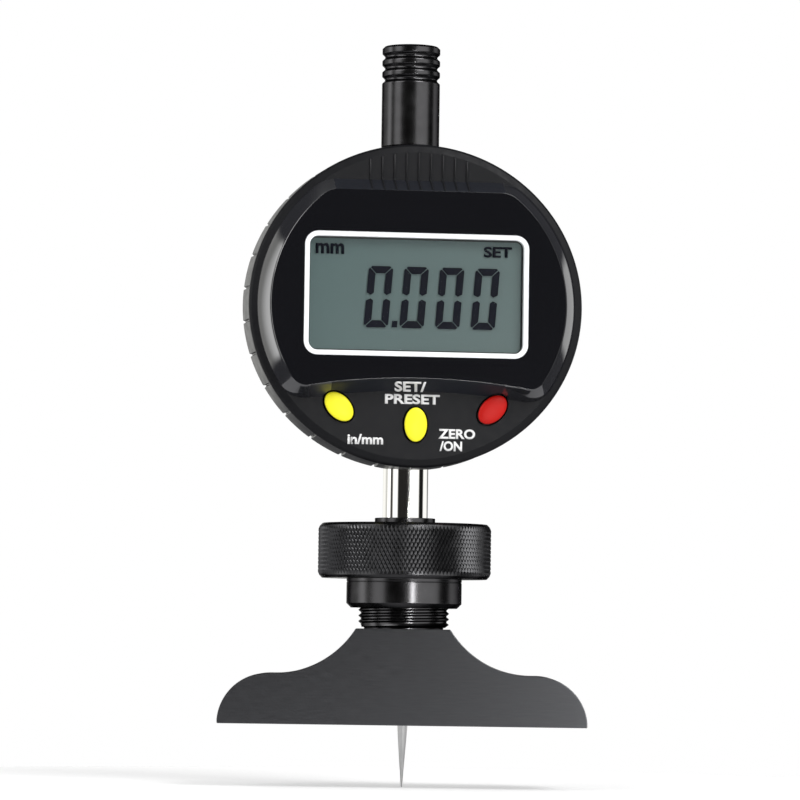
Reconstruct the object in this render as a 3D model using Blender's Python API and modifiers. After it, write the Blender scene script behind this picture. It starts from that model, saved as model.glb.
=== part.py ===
"""Digital depth gauge: a steel bridge, a knurled clamp nut and a battery driven indicator with a needle.

Metres, +Z up. The origin is on the bridge's underside, in the middle of its front lower edge. The stem
stands on the gauge axis, half the bridge's thickness behind that edge, and the display faces -Y, turned a
little to the right in its clamp.
"""
import math

import bmesh
import bpy
from mathutils import Matrix

# Fits and finishes shared by all the pieces
GAP = 0.0003                    # clearance that neighbours keep
OVERRUN = 0.0020                # how far a cut runs past the face that it opens
WELD = 0.000001                 # merge distance
TURN_STEPS = 32                 # facets round a turned piece that shows
INNER_STEPS = 16                # facets round a small or hidden one
CASE_STEPS = 60                 # facets round the case
SMOOTH_ANGLE = math.radians(35)
EDGE_ANGLE = math.radians(40)   # edges sharper than this get the bevel
QUARTER = math.radians(90)

# Bridge
BASE_HALF_LENGTH = 0.03245
BASE_THICKNESS = 0.0170
BASE_HEIGHT = 0.0169
BASE_TOP_HALF = 0.0083
BASE_WING_HEIGHT = 0.0089
BASE_WING_FLAT = 0.0009         # flat run on each wing, between the waist and the round end
BASE_END_LAND = 0.0008          # straight side below the round end
BASE_EDGE = 0.0002
BASE_FLOOR = 0.0045
NEEDLE_HOLE_RADIUS = 0.0030

# Spindle, stem and collet, each round the one before
SPINDLE_RADIUS = 0.0020
STEM_RADIUS = 0.0040
STEM_WALL = 0.0007
COLLET_WALL = 0.0011
COLLET_HEAD_WALL = 0.00105
COLLET_PROUD = 0.0010
COLLET_FLANGE_LIP = 0.0012      # how far the flange stands out over the boss's bore
COLLET_FLANGE = 0.0012
COLLET_GRIP = 0.0130
COLLET_SLIT = 0.0008

# Threaded boss
BOSS_WALL = 0.0023
THREAD_PITCH = 0.0010
THREAD_DEPTH = 0.0004
THREAD_LENGTH = 0.0060
THREAD_SHOWN = 0.0037           # bare thread between the bridge and the nut's collar
NECK_STEP = 0.0002              # from the root of the thread to the plain neck
SHANK_STEP = 0.0010             # from the crest of the thread to the shank in the bridge

# Clamp nut
COLLAR_WALL = 0.0019
COLLAR_HEIGHT = 0.0052
COLLAR_CHAMFER = 0.0008
NUT_LIP = 0.0051                # how far the knurled part stands out over its collar
NUT_HEIGHT = 0.0097
NUT_CHAMFER = 0.0007
NUT_WEB = 0.0014
WASHER_THICKNESS = 0.0009

# Stem lengths and its bush
STEM_SHOWN = 0.0084             # bright stem between the collet and the case
STEM_BELOW = 0.0165             # how far the stem reaches down past the collet's top
STEM_INSIDE = 0.0086            # how far it reaches up into the case
STEM_CHAMFER = 0.0003
BUSH_LENGTH = 0.0060

# Indicator case, with depths measured forwards from the stem's axis
HEAD_TWIST = math.radians(8.5)
HEAD_OVAL_SHARE = 0.963         # the case's height over its width
COVER_RADIUS = 0.0292
BAND_PROUD = 0.0005             # how far the ribbed band stands out past the cover
BAND_WALL = 0.0017
BAND_WIDTH = 0.0070
BAND_LANDS = 30
BAND_NOTCH_WIDTH = 0.0007
BAND_NOTCH_DEPTH = 0.0004
SHELL_WALL = 0.0016
SHELL_DEPTH_BACK = 0.0065       # how far the shell reaches behind the axis
SHELL_SHOULDER = 0.0009
SHELL_TAPER = 0.0009            # how much smaller the shell is at its back
STEM_BOSS_WALL = 0.0012
CAP_BOSS_WALL = 0.0021
BOSS_INSET = 0.0040             # how far the bosses reach inside the shell's wall
SCREW_POST_RADIUS = 0.0026
SCREW_POST_ROOT = 0.0005        # how deep the posts sink in the shell's wall
SCREW_POST_ANGLE = math.radians(41.5)

# Front cover
COVER_RIM = 0.00117             # width of the narrow rim
COVER_RIM_DROP = 0.0008
COVER_SIDE = 0.0012             # straight side of the cover
FACE_THICKNESS = 0.0016
COVER_SKIRT = 0.0004
RAMP_HEIGHT = 0.0034
RAMP_WIDTH = 0.0021
RIB_COUNT = 9
RIB_PITCH = 0.00214
RIB_WIDTH = 0.0007
RIB_HEIGHT = 0.0008

# Window and display
WINDOW_SIDE = 0.00315           # from the cover's edge in to the window's round sides
WINDOW_TOP = 0.0199
WINDOW_BOTTOM = 0.0130
WINDOW_TOP_CORNER = 0.0045
WINDOW_BOTTOM_CORNER = 0.0028
WINDOW_BOTTOM_ARC = 0.1180
WINDOW_THICKNESS = 0.0014
FRAME_SIDE = 0.00625            # from the window's round sides in to the frame
FRAME_ABOVE = 0.0074            # from the window's top down to the frame
FRAME_BELOW = 0.0038            # from the window's bottom up to the frame
FRAME_BAND = 0.0009
FRAME_CORNER = 0.00245
FRAME_INSET = 0.0001
DISPLAY_X = -0.0005
LENS_INSET = 0.0004
LCD_LAP = 0.0004                # how far the display glass reaches behind the frame
LCD_THICKNESS = 0.0016
LCD_INSET = 0.0018              # from the window's front to the display glass
ZEBRA_WIDTH = 0.0016
ZEBRA_MARGIN = 0.0014           # from the display's edges in to the rubber contacts

# Buttons
BUTTON_HALF_WIDTH = 0.0020
BUTTON_HALF_LENGTH = 0.0030
BUTTON_PROUD = 0.0010
BUTTON_CROWN = 0.0005
BUTTON_FLANGE = 0.0007
BUTTON_FLANGE_LIP = 0.0005
BUTTON_ROOM = 0.0008            # from the dome up to the flange, which covers the travel
SIDE_BUTTON_INSET = 0.00665     # from the cover's edge in to the side buttons
SIDE_BUTTON_ANGLE = math.radians(53)
MIDDLE_BUTTON_INSET = 0.0083
SIDE_BUTTON_TILT = math.radians(45)
BUTTON_STEPS = 28
DOME_RADIUS = 0.0020
DOME_HEIGHT = 0.0005

# Circuit board and its screws
BOARD_EDGE = 0.0007             # from the shell's bore in to the board
BOARD_THICKNESS = 0.0010
BOARD_STANDOFF = 0.0006         # from the stem's boss to the board
BOARD_SCREW_RADIUS = 0.0007
BOARD_SCREW_LENGTH = 0.0040
SCREW_HEAD_RADIUS = 0.0014
SCREW_HEAD_HEIGHT = 0.0008

# Back cover and battery
BACK_STEP = 0.0006              # from the shell's rear edge in to the cover
BACK_THICKNESS = 0.0016
BACK_EDGE = 0.0004
COVER_SCREW_RADIUS = 0.0008
COVER_SCREW_LENGTH = 0.0075
COVER_SCREW_SINK = 0.0007
BATTERY_RADIUS = 0.0058
BATTERY_HEIGHT = 0.0054
BATTERY_ROOM = 0.0008           # between the battery's cup and the scale carrier
HOLDER_WALL = 0.0021
HOLDER_FLOOR = 0.0008
CONTACT_THICKNESS = 0.0003
CONTACT_RADIUS = 0.0040
BATTERY_CAP_RADIUS = 0.0070
BATTERY_CAP_SPIGOT = 0.0006
COIN_SLOT_LENGTH = 0.0090
COIN_SLOT_WIDTH = 0.0013
COIN_SLOT_DEPTH = 0.0007

# Spindle
SPINDLE_TRAVEL = 0.0127
SPINDLE_BELOW_STEM = 0.0060
SPINDLE_ABOVE_CASE = 0.0029
SPINDLE_CHAMFER = 0.0003
COLLAR_STOP_RADIUS = 0.0036
COLLAR_STOP_HEIGHT = 0.0030
BUMPER_RADIUS = 0.0038
BUMPER_HEIGHT = 0.0013
CARRIER_WIDTH = 0.0090
CARRIER_HEIGHT = 0.0120
CARRIER_BACK = 0.0038
CARRIER_RISE = 0.0018           # from the stop collar up to the carrier
SCALE_WIDTH = 0.0070
SCALE_LENGTH = 0.0240
SCALE_THICKNESS = 0.0008
SCALE_DROP = 0.0030
PIN_RADIUS = 0.0010
PIN_LENGTH = 0.0048
RAIL_WIDTH = 0.0040
RAIL_FRONT = 0.0030
RAIL_LENGTH = 0.0210
RAIL_SLOT_DEPTH = 0.0030
SPRING_RADIUS = 0.0029
SPRING_WIRE = 0.00025
SPRING_TURNS = 11
SPRING_POINTS = 8               # points for each turn

# Needle
NEEDLE_BODY_RADIUS = 0.0022
NEEDLE_BODY_LENGTH = 0.0047
NEEDLE_SHOULDER_RADIUS = 0.0015
NEEDLE_SHOULDER_DROP = 0.0014
NEEDLE_REACH = 0.0110           # how far the tip stands below the bridge
NEEDLE_TIP_RADIUS = 0.00012

# Dust cap, its spigot and its ring
CAP_WALL = 0.00095
CAP_LENGTH = 0.0180
CAP_TOP_WALL = 0.0012
CAP_TOP_EDGE = 0.0005
CAP_RIDGES = 3
CAP_RIDGE_PITCH = 0.00203
CAP_FIRST_RIDGE = 0.0009
CAP_GROOVE_DEPTH = 0.0005
CAP_RIDGE_POINTS = 5            # points for each ridge and groove
UPPER_BUSH_WALL = 0.0007
UPPER_BUSH_BELOW = 0.0066       # how far the bush reaches down past the top of its boss
SPIGOT_HEIGHT = 0.0050
CAP_RING_WIRE = 0.0003

# Radii worked out from those sizes
SPINDLE_BORE_RADIUS = SPINDLE_RADIUS + GAP
STEM_BORE_RADIUS = STEM_RADIUS - STEM_WALL
COLLET_BORE_RADIUS = STEM_RADIUS + GAP
COLLET_HEAD_RADIUS = COLLET_BORE_RADIUS + COLLET_HEAD_WALL
SLEEVE_RADIUS = COLLET_BORE_RADIUS + COLLET_WALL
BOSS_BORE_RADIUS = SLEEVE_RADIUS + GAP
COLLET_FLANGE_RADIUS = BOSS_BORE_RADIUS + COLLET_FLANGE_LIP
THREAD_RADIUS = BOSS_BORE_RADIUS + BOSS_WALL
NECK_RADIUS = THREAD_RADIUS - THREAD_DEPTH - NECK_STEP
SHANK_RADIUS = THREAD_RADIUS - SHANK_STEP
NUT_BORE_RADIUS = THREAD_RADIUS + GAP
COLLAR_RADIUS = NUT_BORE_RADIUS + COLLAR_WALL
NUT_RADIUS = COLLAR_RADIUS + NUT_LIP
BAND_RADIUS = COVER_RADIUS + BAND_PROUD
SHELL_RADIUS = BAND_RADIUS - BAND_WALL - GAP
SHELL_BORE = SHELL_RADIUS - SHELL_WALL
SHELL_REAR_RADIUS = SHELL_RADIUS - SHELL_TAPER
BACK_RADIUS = SHELL_REAR_RADIUS - BACK_STEP
BOARD_RADIUS = SHELL_BORE - BOARD_EDGE
STEM_BOSS_RADIUS = COLLET_BORE_RADIUS + STEM_BOSS_WALL
UPPER_BUSH_RADIUS = SPINDLE_BORE_RADIUS + UPPER_BUSH_WALL
CAP_BOSS_RADIUS = UPPER_BUSH_RADIUS + GAP + CAP_BOSS_WALL
CAP_RING_RADIUS = UPPER_BUSH_RADIUS + GAP + CAP_RING_WIRE
CAP_BORE_RADIUS = CAP_RING_RADIUS + CAP_RING_WIRE + GAP
CAP_RADIUS = CAP_BORE_RADIUS + CAP_WALL
SCREW_POST_REACH = SHELL_BORE - SCREW_POST_RADIUS + SCREW_POST_ROOT

# Display sizes worked out from the window
WINDOW_RADIUS = COVER_RADIUS - WINDOW_SIDE
FRAME_WIDTH = 2 * (WINDOW_RADIUS - FRAME_SIDE)
FRAME_HEIGHT = WINDOW_TOP - FRAME_ABOVE + WINDOW_BOTTOM - FRAME_BELOW
DISPLAY_Z = WINDOW_TOP - FRAME_ABOVE - FRAME_HEIGHT / 2
LCD_WIDTH = FRAME_WIDTH + 2 * LCD_LAP
LCD_HEIGHT = FRAME_HEIGHT + 2 * LCD_LAP
ZEBRA_LENGTH = LCD_WIDTH - 2 * ZEBRA_MARGIN
ZEBRA_PITCH = LCD_HEIGHT - 2 * ZEBRA_MARGIN - ZEBRA_WIDTH

# Places worked out from those sizes
COLLAR_BOTTOM = BASE_HEIGHT + THREAD_SHOWN
NUT_BOTTOM = COLLAR_BOTTOM + COLLAR_HEIGHT
NUT_TOP = NUT_BOTTOM + NUT_HEIGHT
WEB_BOTTOM = NUT_TOP - NUT_WEB
WASHER_BOTTOM = WEB_BOTTOM - GAP - WASHER_THICKNESS
FLANGE_BOTTOM = WASHER_BOTTOM - GAP - COLLET_FLANGE
BOSS_TOP = FLANGE_BOTTOM - GAP
COLLET_TOP = NUT_TOP + COLLET_PROUD
BAND_HALF_HEIGHT = BAND_RADIUS * HEAD_OVAL_SHARE
HEAD_Z = COLLET_TOP + STEM_SHOWN + BAND_HALF_HEIGHT
STEM_BOTTOM = COLLET_TOP - STEM_BELOW - HEAD_Z
STEM_TOP = COLLET_TOP + STEM_SHOWN + STEM_INSIDE - HEAD_Z
BOARD_BACK = STEM_BOSS_RADIUS + BOARD_STANDOFF
BOARD_FRONT = BOARD_BACK + BOARD_THICKNESS
DOME_TOP = BOARD_FRONT + GAP + DOME_HEIGHT
BUTTON_FLANGE_FRONT = DOME_TOP + BUTTON_ROOM + BUTTON_FLANGE
FACE_BACK = BUTTON_FLANGE_FRONT + GAP
RIM_FRONT = FACE_BACK + FACE_THICKNESS
COVER_BACK = RIM_FRONT - COVER_RIM_DROP - COVER_SIDE
BAND_FRONT = COVER_BACK - GAP
BAND_BACK = BAND_FRONT - BAND_WIDTH
WINDOW_FRONT = RIM_FRONT + RAMP_HEIGHT
WINDOW_BACK = WINDOW_FRONT - WINDOW_THICKNESS
PLATEAU_FRONT = WINDOW_BACK - GAP
SHELL_FRONT = BAND_FRONT - GAP
LCD_FRONT = WINDOW_FRONT - LCD_INSET
LCD_BACK = LCD_FRONT - LCD_THICKNESS
HOLDER_FRONT = LCD_BACK - GAP
HOLDER_BACK = BOARD_FRONT + GAP
SCALE_FRONT = BOARD_BACK - GAP
CARRIER_FRONT = SCALE_FRONT - SCALE_THICKNESS - GAP
BACK_PLATE_FRONT = -SHELL_DEPTH_BACK - GAP
CAP_BOSS_TOP = BAND_HALF_HEIGHT
CAP_BOTTOM = CAP_BOSS_TOP + GAP
SPIGOT_TOP = CAP_BOSS_TOP + SPIGOT_HEIGHT
UPPER_BUSH_BOTTOM = CAP_BOSS_TOP - UPPER_BUSH_BELOW
BUMPER_BOTTOM = STEM_TOP + GAP
STOP_BOTTOM = BUMPER_BOTTOM + BUMPER_HEIGHT + GAP
CARRIER_BOTTOM = STOP_BOTTOM + COLLAR_STOP_HEIGHT + CARRIER_RISE
BATTERY_CUP_RADIUS = BATTERY_RADIUS + GAP + HOLDER_WALL
BATTERY_X = -(CARRIER_WIDTH / 2 + BATTERY_ROOM + BATTERY_CUP_RADIUS)

PARTS = bpy.data.collections.new("depth_gauge")
CUTTERS = bpy.data.collections.new("depth_gauge_cutters")


def clear_scene():
    """Empty the scene and link the two collections."""
    for thing in list(bpy.data.objects):
        bpy.data.objects.remove(thing, do_unlink=True)
    bpy.context.scene.collection.children.link(PARTS)
    bpy.context.scene.collection.children.link(CUTTERS)


def material(name, colour, roughness, metallic=0.0):
    """A plain material with one colour."""
    made = bpy.data.materials.new(name)
    made.use_nodes = True
    shader = made.node_tree.nodes["Principled BSDF"]
    shader.inputs["Base Color"].default_value = (*colour, 1.0)
    shader.inputs["Roughness"].default_value = roughness
    shader.inputs["Metallic"].default_value = metallic
    return made


def make_materials():
    """Every material of the gauge, by name."""
    return {
        "base_steel": material("base_steel", (0.055, 0.060, 0.068), 0.45, 0.8),
        "black_oxide": material("black_oxide", (0.020, 0.020, 0.022), 0.40, 0.6),
        "black_plastic": material("black_plastic", (0.022, 0.023, 0.027), 0.50),
        "gloss_black": material("gloss_black", (0.007, 0.007, 0.010), 0.08),
        "frame_white": material("frame_white", (0.90, 0.92, 0.92), 0.40),
        "clear": material("clear", (0.80, 0.85, 0.83), 0.05),
        "lcd_green": material("lcd_green", (0.13, 0.17, 0.16), 0.30),
        "button_yellow": material("button_yellow", (0.95, 0.90, 0.05), 0.35),
        "button_red": material("button_red", (0.60, 0.03, 0.02), 0.35),
        "chrome": material("chrome", (0.75, 0.75, 0.73), 0.12, 1.0),
        "steel": material("steel", (0.45, 0.45, 0.46), 0.30, 1.0),
        "brass": material("brass", (0.60, 0.42, 0.15), 0.30, 1.0),
        "rubber": material("rubber", (0.03, 0.03, 0.03), 0.80),
        "board_green": material("board_green", (0.02, 0.16, 0.07), 0.45),
        "white_plastic": material("white_plastic", (0.70, 0.70, 0.66), 0.50),
    }


def add_object(name, data, parent, finish, place=(0, 0, 0), turn=(0, 0, 0)):
    """Put a mesh or curve in the gauge, on its parent."""
    thing = bpy.data.objects.new(name, data)
    PARTS.objects.link(thing)
    thing.parent = parent
    thing.location = place
    thing.rotation_euler = turn
    if finish is not None:
        data.materials.append(finish)
    return thing


def add_empty(name, parent, place, turn=(0, 0, 0)):
    """A frame that pieces are placed in."""
    frame = bpy.data.objects.new(name, None)
    PARTS.objects.link(frame)
    frame.parent = parent
    frame.location = place
    frame.rotation_euler = turn
    return frame


def as_cutter(thing):
    """Move an object to the cutters, hidden from renders."""
    PARTS.objects.unlink(thing)
    CUTTERS.objects.link(thing)
    thing.hide_render = True
    thing.display_type = 'WIRE'
    return thing


def boolean(target, tool, operation='DIFFERENCE'):
    """Cut the target with the tool, or join the tool to it."""
    step = target.modifiers.new(tool.name, 'BOOLEAN')
    step.operation = operation
    step.object = as_cutter(tool)


def smooth(mesh):
    """Round faces smooth, edges crisp."""
    mesh.shade_smooth()
    mesh.set_sharp_from_angle(angle=SMOOTH_ANGLE)


def block(name, size, centre, parent, finish=None, turn=(0, 0, 0)):
    """A box of the given size."""
    mesh = bpy.data.meshes.new(name)
    shape = bmesh.new()
    bmesh.ops.create_cube(shape, size=1.0, matrix=Matrix.Diagonal((*size, 1.0)))
    shape.to_mesh(mesh)
    shape.free()
    return add_object(name, mesh, parent, finish, centre, turn)


def cylinder(name, radius, bottom, top, parent, finish=None, place=(0, 0, 0), turn=(0, 0, 0),
             steps=INNER_STEPS):
    """A cylinder along its own Z from bottom to top."""
    mesh = bpy.data.meshes.new(name)
    shape = bmesh.new()
    middle = Matrix.Translation((0, 0, (bottom + top) / 2))
    bmesh.ops.create_cone(shape, cap_ends=True, segments=steps, radius1=radius,
                          radius2=radius, depth=top - bottom, matrix=middle)
    shape.to_mesh(mesh)
    shape.free()
    smooth(mesh)
    return add_object(name, mesh, parent, finish, place, turn)


def turned(name, profile, parent, finish=None, place=(0, 0, 0), closed=True, steps=TURN_STEPS):
    """Spin a profile of (radius, height) points, which runs down its outer side, about Z."""
    mesh = bpy.data.meshes.new(name)
    count = len(profile)
    edges = [(i, i + 1) for i in range(count - 1)]
    if closed:
        edges.append((count - 1, 0))
    mesh.from_pydata([(radius, 0, height) for radius, height in profile], edges, [])
    thing = add_object(name, mesh, parent, finish, place)
    spin = thing.modifiers.new("spin", 'SCREW')
    spin.axis = 'Z'
    spin.steps = steps
    spin.render_steps = steps
    spin.use_merge_vertices = True
    spin.merge_threshold = WELD
    spin.use_smooth_shade = True
    return thing


def tube_profile(outer, inner, top, bottom):
    """The square section of a plain ring."""
    return [(inner, top), (outer, top), (outer, bottom), (inner, bottom)]


def plate(name, outlines, thickness, back, parent, finish=None):
    """A flat piece from closed outlines, an inner one being a hole, standing forward from its back."""
    curve = bpy.data.curves.new(name, 'CURVE')
    curve.dimensions = '2D'
    curve.fill_mode = 'BOTH'
    curve.extrude = thickness / 2
    for outline in outlines:
        line = curve.splines.new('POLY')
        line.points.add(len(outline) - 1)
        for point, (x, y) in zip(line.points, outline):
            point.co = (x, y, 0, 1)
        line.use_cyclic_u = True
    drawn = add_object(name + "_outline", curve, parent, None, (0, 0, back + thickness / 2))
    bpy.context.view_layer.update()
    evaluated = drawn.evaluated_get(bpy.context.evaluated_depsgraph_get())
    mesh = bpy.data.meshes.new_from_object(evaluated)
    mesh.name = name
    shape = bmesh.new()
    shape.from_mesh(mesh)
    bmesh.ops.remove_doubles(shape, verts=shape.verts, dist=WELD)
    shape.to_mesh(mesh)
    shape.free()
    smooth(mesh)
    thing = add_object(name, mesh, parent, finish)
    thing.location = drawn.location
    bpy.data.objects.remove(drawn, do_unlink=True)
    return thing


def loft(name, sections, parent, finish=None, place=(0, 0, 0), turn=(0, 0, 0)):
    """A closed skin through (outline, height) sections that have the same number of points."""
    mesh = bpy.data.meshes.new(name)
    shape = bmesh.new()
    rings = [[shape.verts.new((x, y, height)) for x, y in outline] for outline, height in sections]
    for ring, following in zip(rings, rings[1:]):
        for i in range(len(ring)):
            j = (i + 1) % len(ring)
            shape.faces.new((ring[i], ring[j], following[j], following[i]))
    shape.faces.new(rings[0])
    shape.faces.new(rings[-1])
    bmesh.ops.recalc_face_normals(shape, faces=shape.faces)
    shape.to_mesh(mesh)
    shape.free()
    smooth(mesh)
    return add_object(name, mesh, parent, finish, place, turn)


def arc(centre, radius, start, end, steps):
    """Points on an arc, with both ends, angles in radians."""
    angles = [start + (end - start) * i / steps for i in range(steps + 1)]
    return [(centre[0] + radius * math.cos(a), centre[1] + radius * math.sin(a)) for a in angles]


def ellipse(half_width, half_height, steps):
    """Points round an ellipse."""
    angles = [math.tau * i / steps for i in range(steps)]
    return [(half_width * math.cos(a), half_height * math.sin(a)) for a in angles]


def round_rectangle(width, height, corner, centre, steps=5):
    """Points round a rectangle with round corners."""
    points = []
    for quadrant, (side_x, side_y) in enumerate(((1, 1), (-1, 1), (-1, -1), (1, -1))):
        middle = (centre[0] + side_x * (width / 2 - corner), centre[1] + side_y * (height / 2 - corner))
        points += arc(middle, corner, quadrant * QUARTER, (quadrant + 1) * QUARTER, steps)
    return points


def oval(points):
    """Squeeze a round outline to the case's oval."""
    return [(x, y * HEAD_OVAL_SHARE) for x, y in points]


def bridge_outline():
    """The bridge from the front: flat top, hollow waists and round ended wings."""
    end_x = BASE_HALF_LENGTH - math.sqrt(BASE_WING_HEIGHT ** 2 - BASE_END_LAND ** 2)
    waist_x = end_x - BASE_WING_FLAT
    run = waist_x - BASE_TOP_HALF
    rise = BASE_HEIGHT - BASE_WING_HEIGHT
    waist_radius = (run ** 2 + rise ** 2) / (2 * rise)
    start = math.pi + math.asin((waist_radius - rise) / waist_radius)
    half = [(0, BASE_HEIGHT)]
    half += arc((waist_x, BASE_WING_HEIGHT + waist_radius), waist_radius, start, 3 * QUARTER, 12)
    half += arc((end_x, 0), BASE_WING_HEIGHT, QUARTER, math.asin(BASE_END_LAND / BASE_WING_HEIGHT), 12)
    half.append((BASE_HALF_LENGTH, 0))
    mirrored = [(-x, z) for x, z in reversed(half[1:])]
    return half + mirrored


def window_outline(grow):
    """The window's outline, grown outwards: round sides, a flat top and a slightly arched bottom."""
    radius = WINDOW_RADIUS + grow
    top = WINDOW_TOP / HEAD_OVAL_SHARE + grow
    bottom = WINDOW_BOTTOM / HEAD_OVAL_SHARE + grow
    upper = WINDOW_TOP_CORNER + grow
    lower = WINDOW_BOTTOM_CORNER + grow
    arch = WINDOW_BOTTOM_ARC - grow
    upper_z = top - upper
    upper_x = math.sqrt((radius - upper) ** 2 - upper_z ** 2)
    drop = bottom + arch
    lower_z = ((arch + lower) ** 2 - (radius - lower) ** 2 - drop ** 2) / (2 * drop)
    lower_x = math.sqrt((radius - lower) ** 2 - lower_z ** 2)
    side_up = math.atan2(upper_z, upper_x)
    side_down = math.atan2(lower_z, lower_x)
    meet = math.atan2(lower_x, lower_z + drop)
    half = [(0, top)]
    half += arc((upper_x, upper_z), upper, QUARTER, side_up, 6)
    half += arc((0, 0), radius, side_up, side_down, 14)[1:]
    half += arc((lower_x, lower_z), lower, side_down, -QUARTER - meet, 6)[1:]
    half += arc((0, -drop), arch, QUARTER - meet, QUARTER, 6)[1:]
    mirrored = [(-x, z) for x, z in reversed(half[1:-1])]
    return oval(half + mirrored)


def band_outline():
    """The ribbed band's outer edge: lands parted by small notches."""
    points = []
    land = math.tau / BAND_LANDS
    notch = BAND_NOTCH_WIDTH / BAND_RADIUS
    for i in range(BAND_LANDS):
        middle = (i + 0.5) * land
        floor = BAND_RADIUS - BAND_NOTCH_DEPTH
        points += arc((0, 0), BAND_RADIUS, middle - land + notch / 2, middle - notch / 2, 3)
        points.append((floor * math.cos(middle), floor * math.sin(middle)))
    return oval(points)


def make_bridge(axis, finish):
    """The steel bridge, bored for the boss and for the needle."""
    upright = add_empty("bridge_front", axis, (0, 0, 0), (QUARTER, 0, 0))
    base = plate("base_plate", [bridge_outline()], BASE_THICKNESS, -BASE_THICKNESS / 2, upright,
                 finish["base_steel"])
    needle_hole = cylinder("needle_hole", NEEDLE_HOLE_RADIUS, -OVERRUN, BASE_HEIGHT, axis, steps=TURN_STEPS)
    boolean(base, needle_hole)
    boss_hole = cylinder("boss_hole", SHANK_RADIUS + GAP, BASE_FLOOR, BASE_HEIGHT + OVERRUN, axis,
                         steps=TURN_STEPS)
    boolean(base, boss_hole)
    soften(base, BASE_EDGE)
    return base


def soften(thing, width, segments=1):
    """Break the sharp edges."""
    bevel = thing.modifiers.new("soften", 'BEVEL')
    bevel.width = width
    bevel.segments = segments
    bevel.limit_method = 'ANGLE'
    bevel.angle_limit = EDGE_ANGLE


def make_boss(axis, finish):
    """The threaded boss, screwed into the bridge up to its shoulder."""
    shoulder = BASE_HEIGHT + GAP
    thread_top = shoulder + THREAD_LENGTH
    turns = round(THREAD_LENGTH / THREAD_PITCH)
    profile = [(BOSS_BORE_RADIUS, BOSS_TOP), (NECK_RADIUS, BOSS_TOP), (NECK_RADIUS, thread_top)]
    for i in range(turns):
        crest = thread_top - i * THREAD_PITCH
        profile.append((THREAD_RADIUS - THREAD_DEPTH, crest))
        profile.append((THREAD_RADIUS, crest - THREAD_PITCH / 2))
    profile.append((THREAD_RADIUS - THREAD_DEPTH, shoulder))
    profile.append((SHANK_RADIUS, shoulder))
    profile.append((SHANK_RADIUS, BASE_FLOOR + GAP))
    profile.append((BOSS_BORE_RADIUS, BASE_FLOOR + GAP))
    turned("threaded_boss", profile, axis, finish["black_oxide"])


def make_clamp(axis, finish):
    """The knurled nut with its collar, the thrust washer and the split collet."""
    hole = COLLET_HEAD_RADIUS + GAP
    profile = [
        (hole, NUT_TOP), (NUT_RADIUS - NUT_CHAMFER, NUT_TOP), (NUT_RADIUS, NUT_TOP - NUT_CHAMFER),
        (NUT_RADIUS, NUT_BOTTOM + NUT_CHAMFER), (NUT_RADIUS - NUT_CHAMFER, NUT_BOTTOM),
        (COLLAR_RADIUS, NUT_BOTTOM), (COLLAR_RADIUS, COLLAR_BOTTOM + COLLAR_CHAMFER),
        (COLLAR_RADIUS - COLLAR_CHAMFER, COLLAR_BOTTOM), (NUT_BORE_RADIUS, COLLAR_BOTTOM),
        (NUT_BORE_RADIUS, WEB_BOTTOM), (hole, WEB_BOTTOM)]
    turned("clamp_nut", profile, axis, finish["black_oxide"])
    washer = tube_profile(NUT_BORE_RADIUS - GAP, hole, WASHER_BOTTOM + WASHER_THICKNESS, WASHER_BOTTOM)
    turned("thrust_washer", washer, axis, finish["brass"], steps=INNER_STEPS * 2)
    sleeve = SLEEVE_RADIUS
    grip_bottom = FLANGE_BOTTOM - COLLET_GRIP
    bore = COLLET_BORE_RADIUS
    flange_top = FLANGE_BOTTOM + COLLET_FLANGE
    profile = [
        (bore, COLLET_TOP), (COLLET_HEAD_RADIUS, COLLET_TOP), (COLLET_HEAD_RADIUS, flange_top),
        (COLLET_FLANGE_RADIUS, flange_top), (COLLET_FLANGE_RADIUS, FLANGE_BOTTOM),
        (sleeve, FLANGE_BOTTOM), (sleeve, grip_bottom), (bore, grip_bottom)]
    collet = turned("split_collet", profile, axis, finish["black_oxide"])
    reach = COLLET_FLANGE_RADIUS + OVERRUN
    height = COLLET_TOP - grip_bottom + 2 * OVERRUN
    centre = (0, reach / 2, (COLLET_TOP + grip_bottom) / 2)
    boolean(collet, block("collet_slit", (COLLET_SLIT, reach, height), centre, axis))


def make_stem(head, finish):
    """The bright stem with its lower bush."""
    edge = STEM_RADIUS - STEM_CHAMFER
    profile = [
        (STEM_BORE_RADIUS, STEM_TOP), (STEM_RADIUS, STEM_TOP), (STEM_RADIUS, STEM_BOTTOM + STEM_CHAMFER),
        (edge, STEM_BOTTOM), (STEM_BORE_RADIUS, STEM_BOTTOM)]
    turned("stem", profile, head, finish["chrome"])
    bush = tube_profile(STEM_BORE_RADIUS - GAP, SPINDLE_BORE_RADIUS, STEM_BOTTOM + BUSH_LENGTH, STEM_BOTTOM)
    turned("stem_bush", bush, head, finish["brass"], steps=INNER_STEPS)


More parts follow.
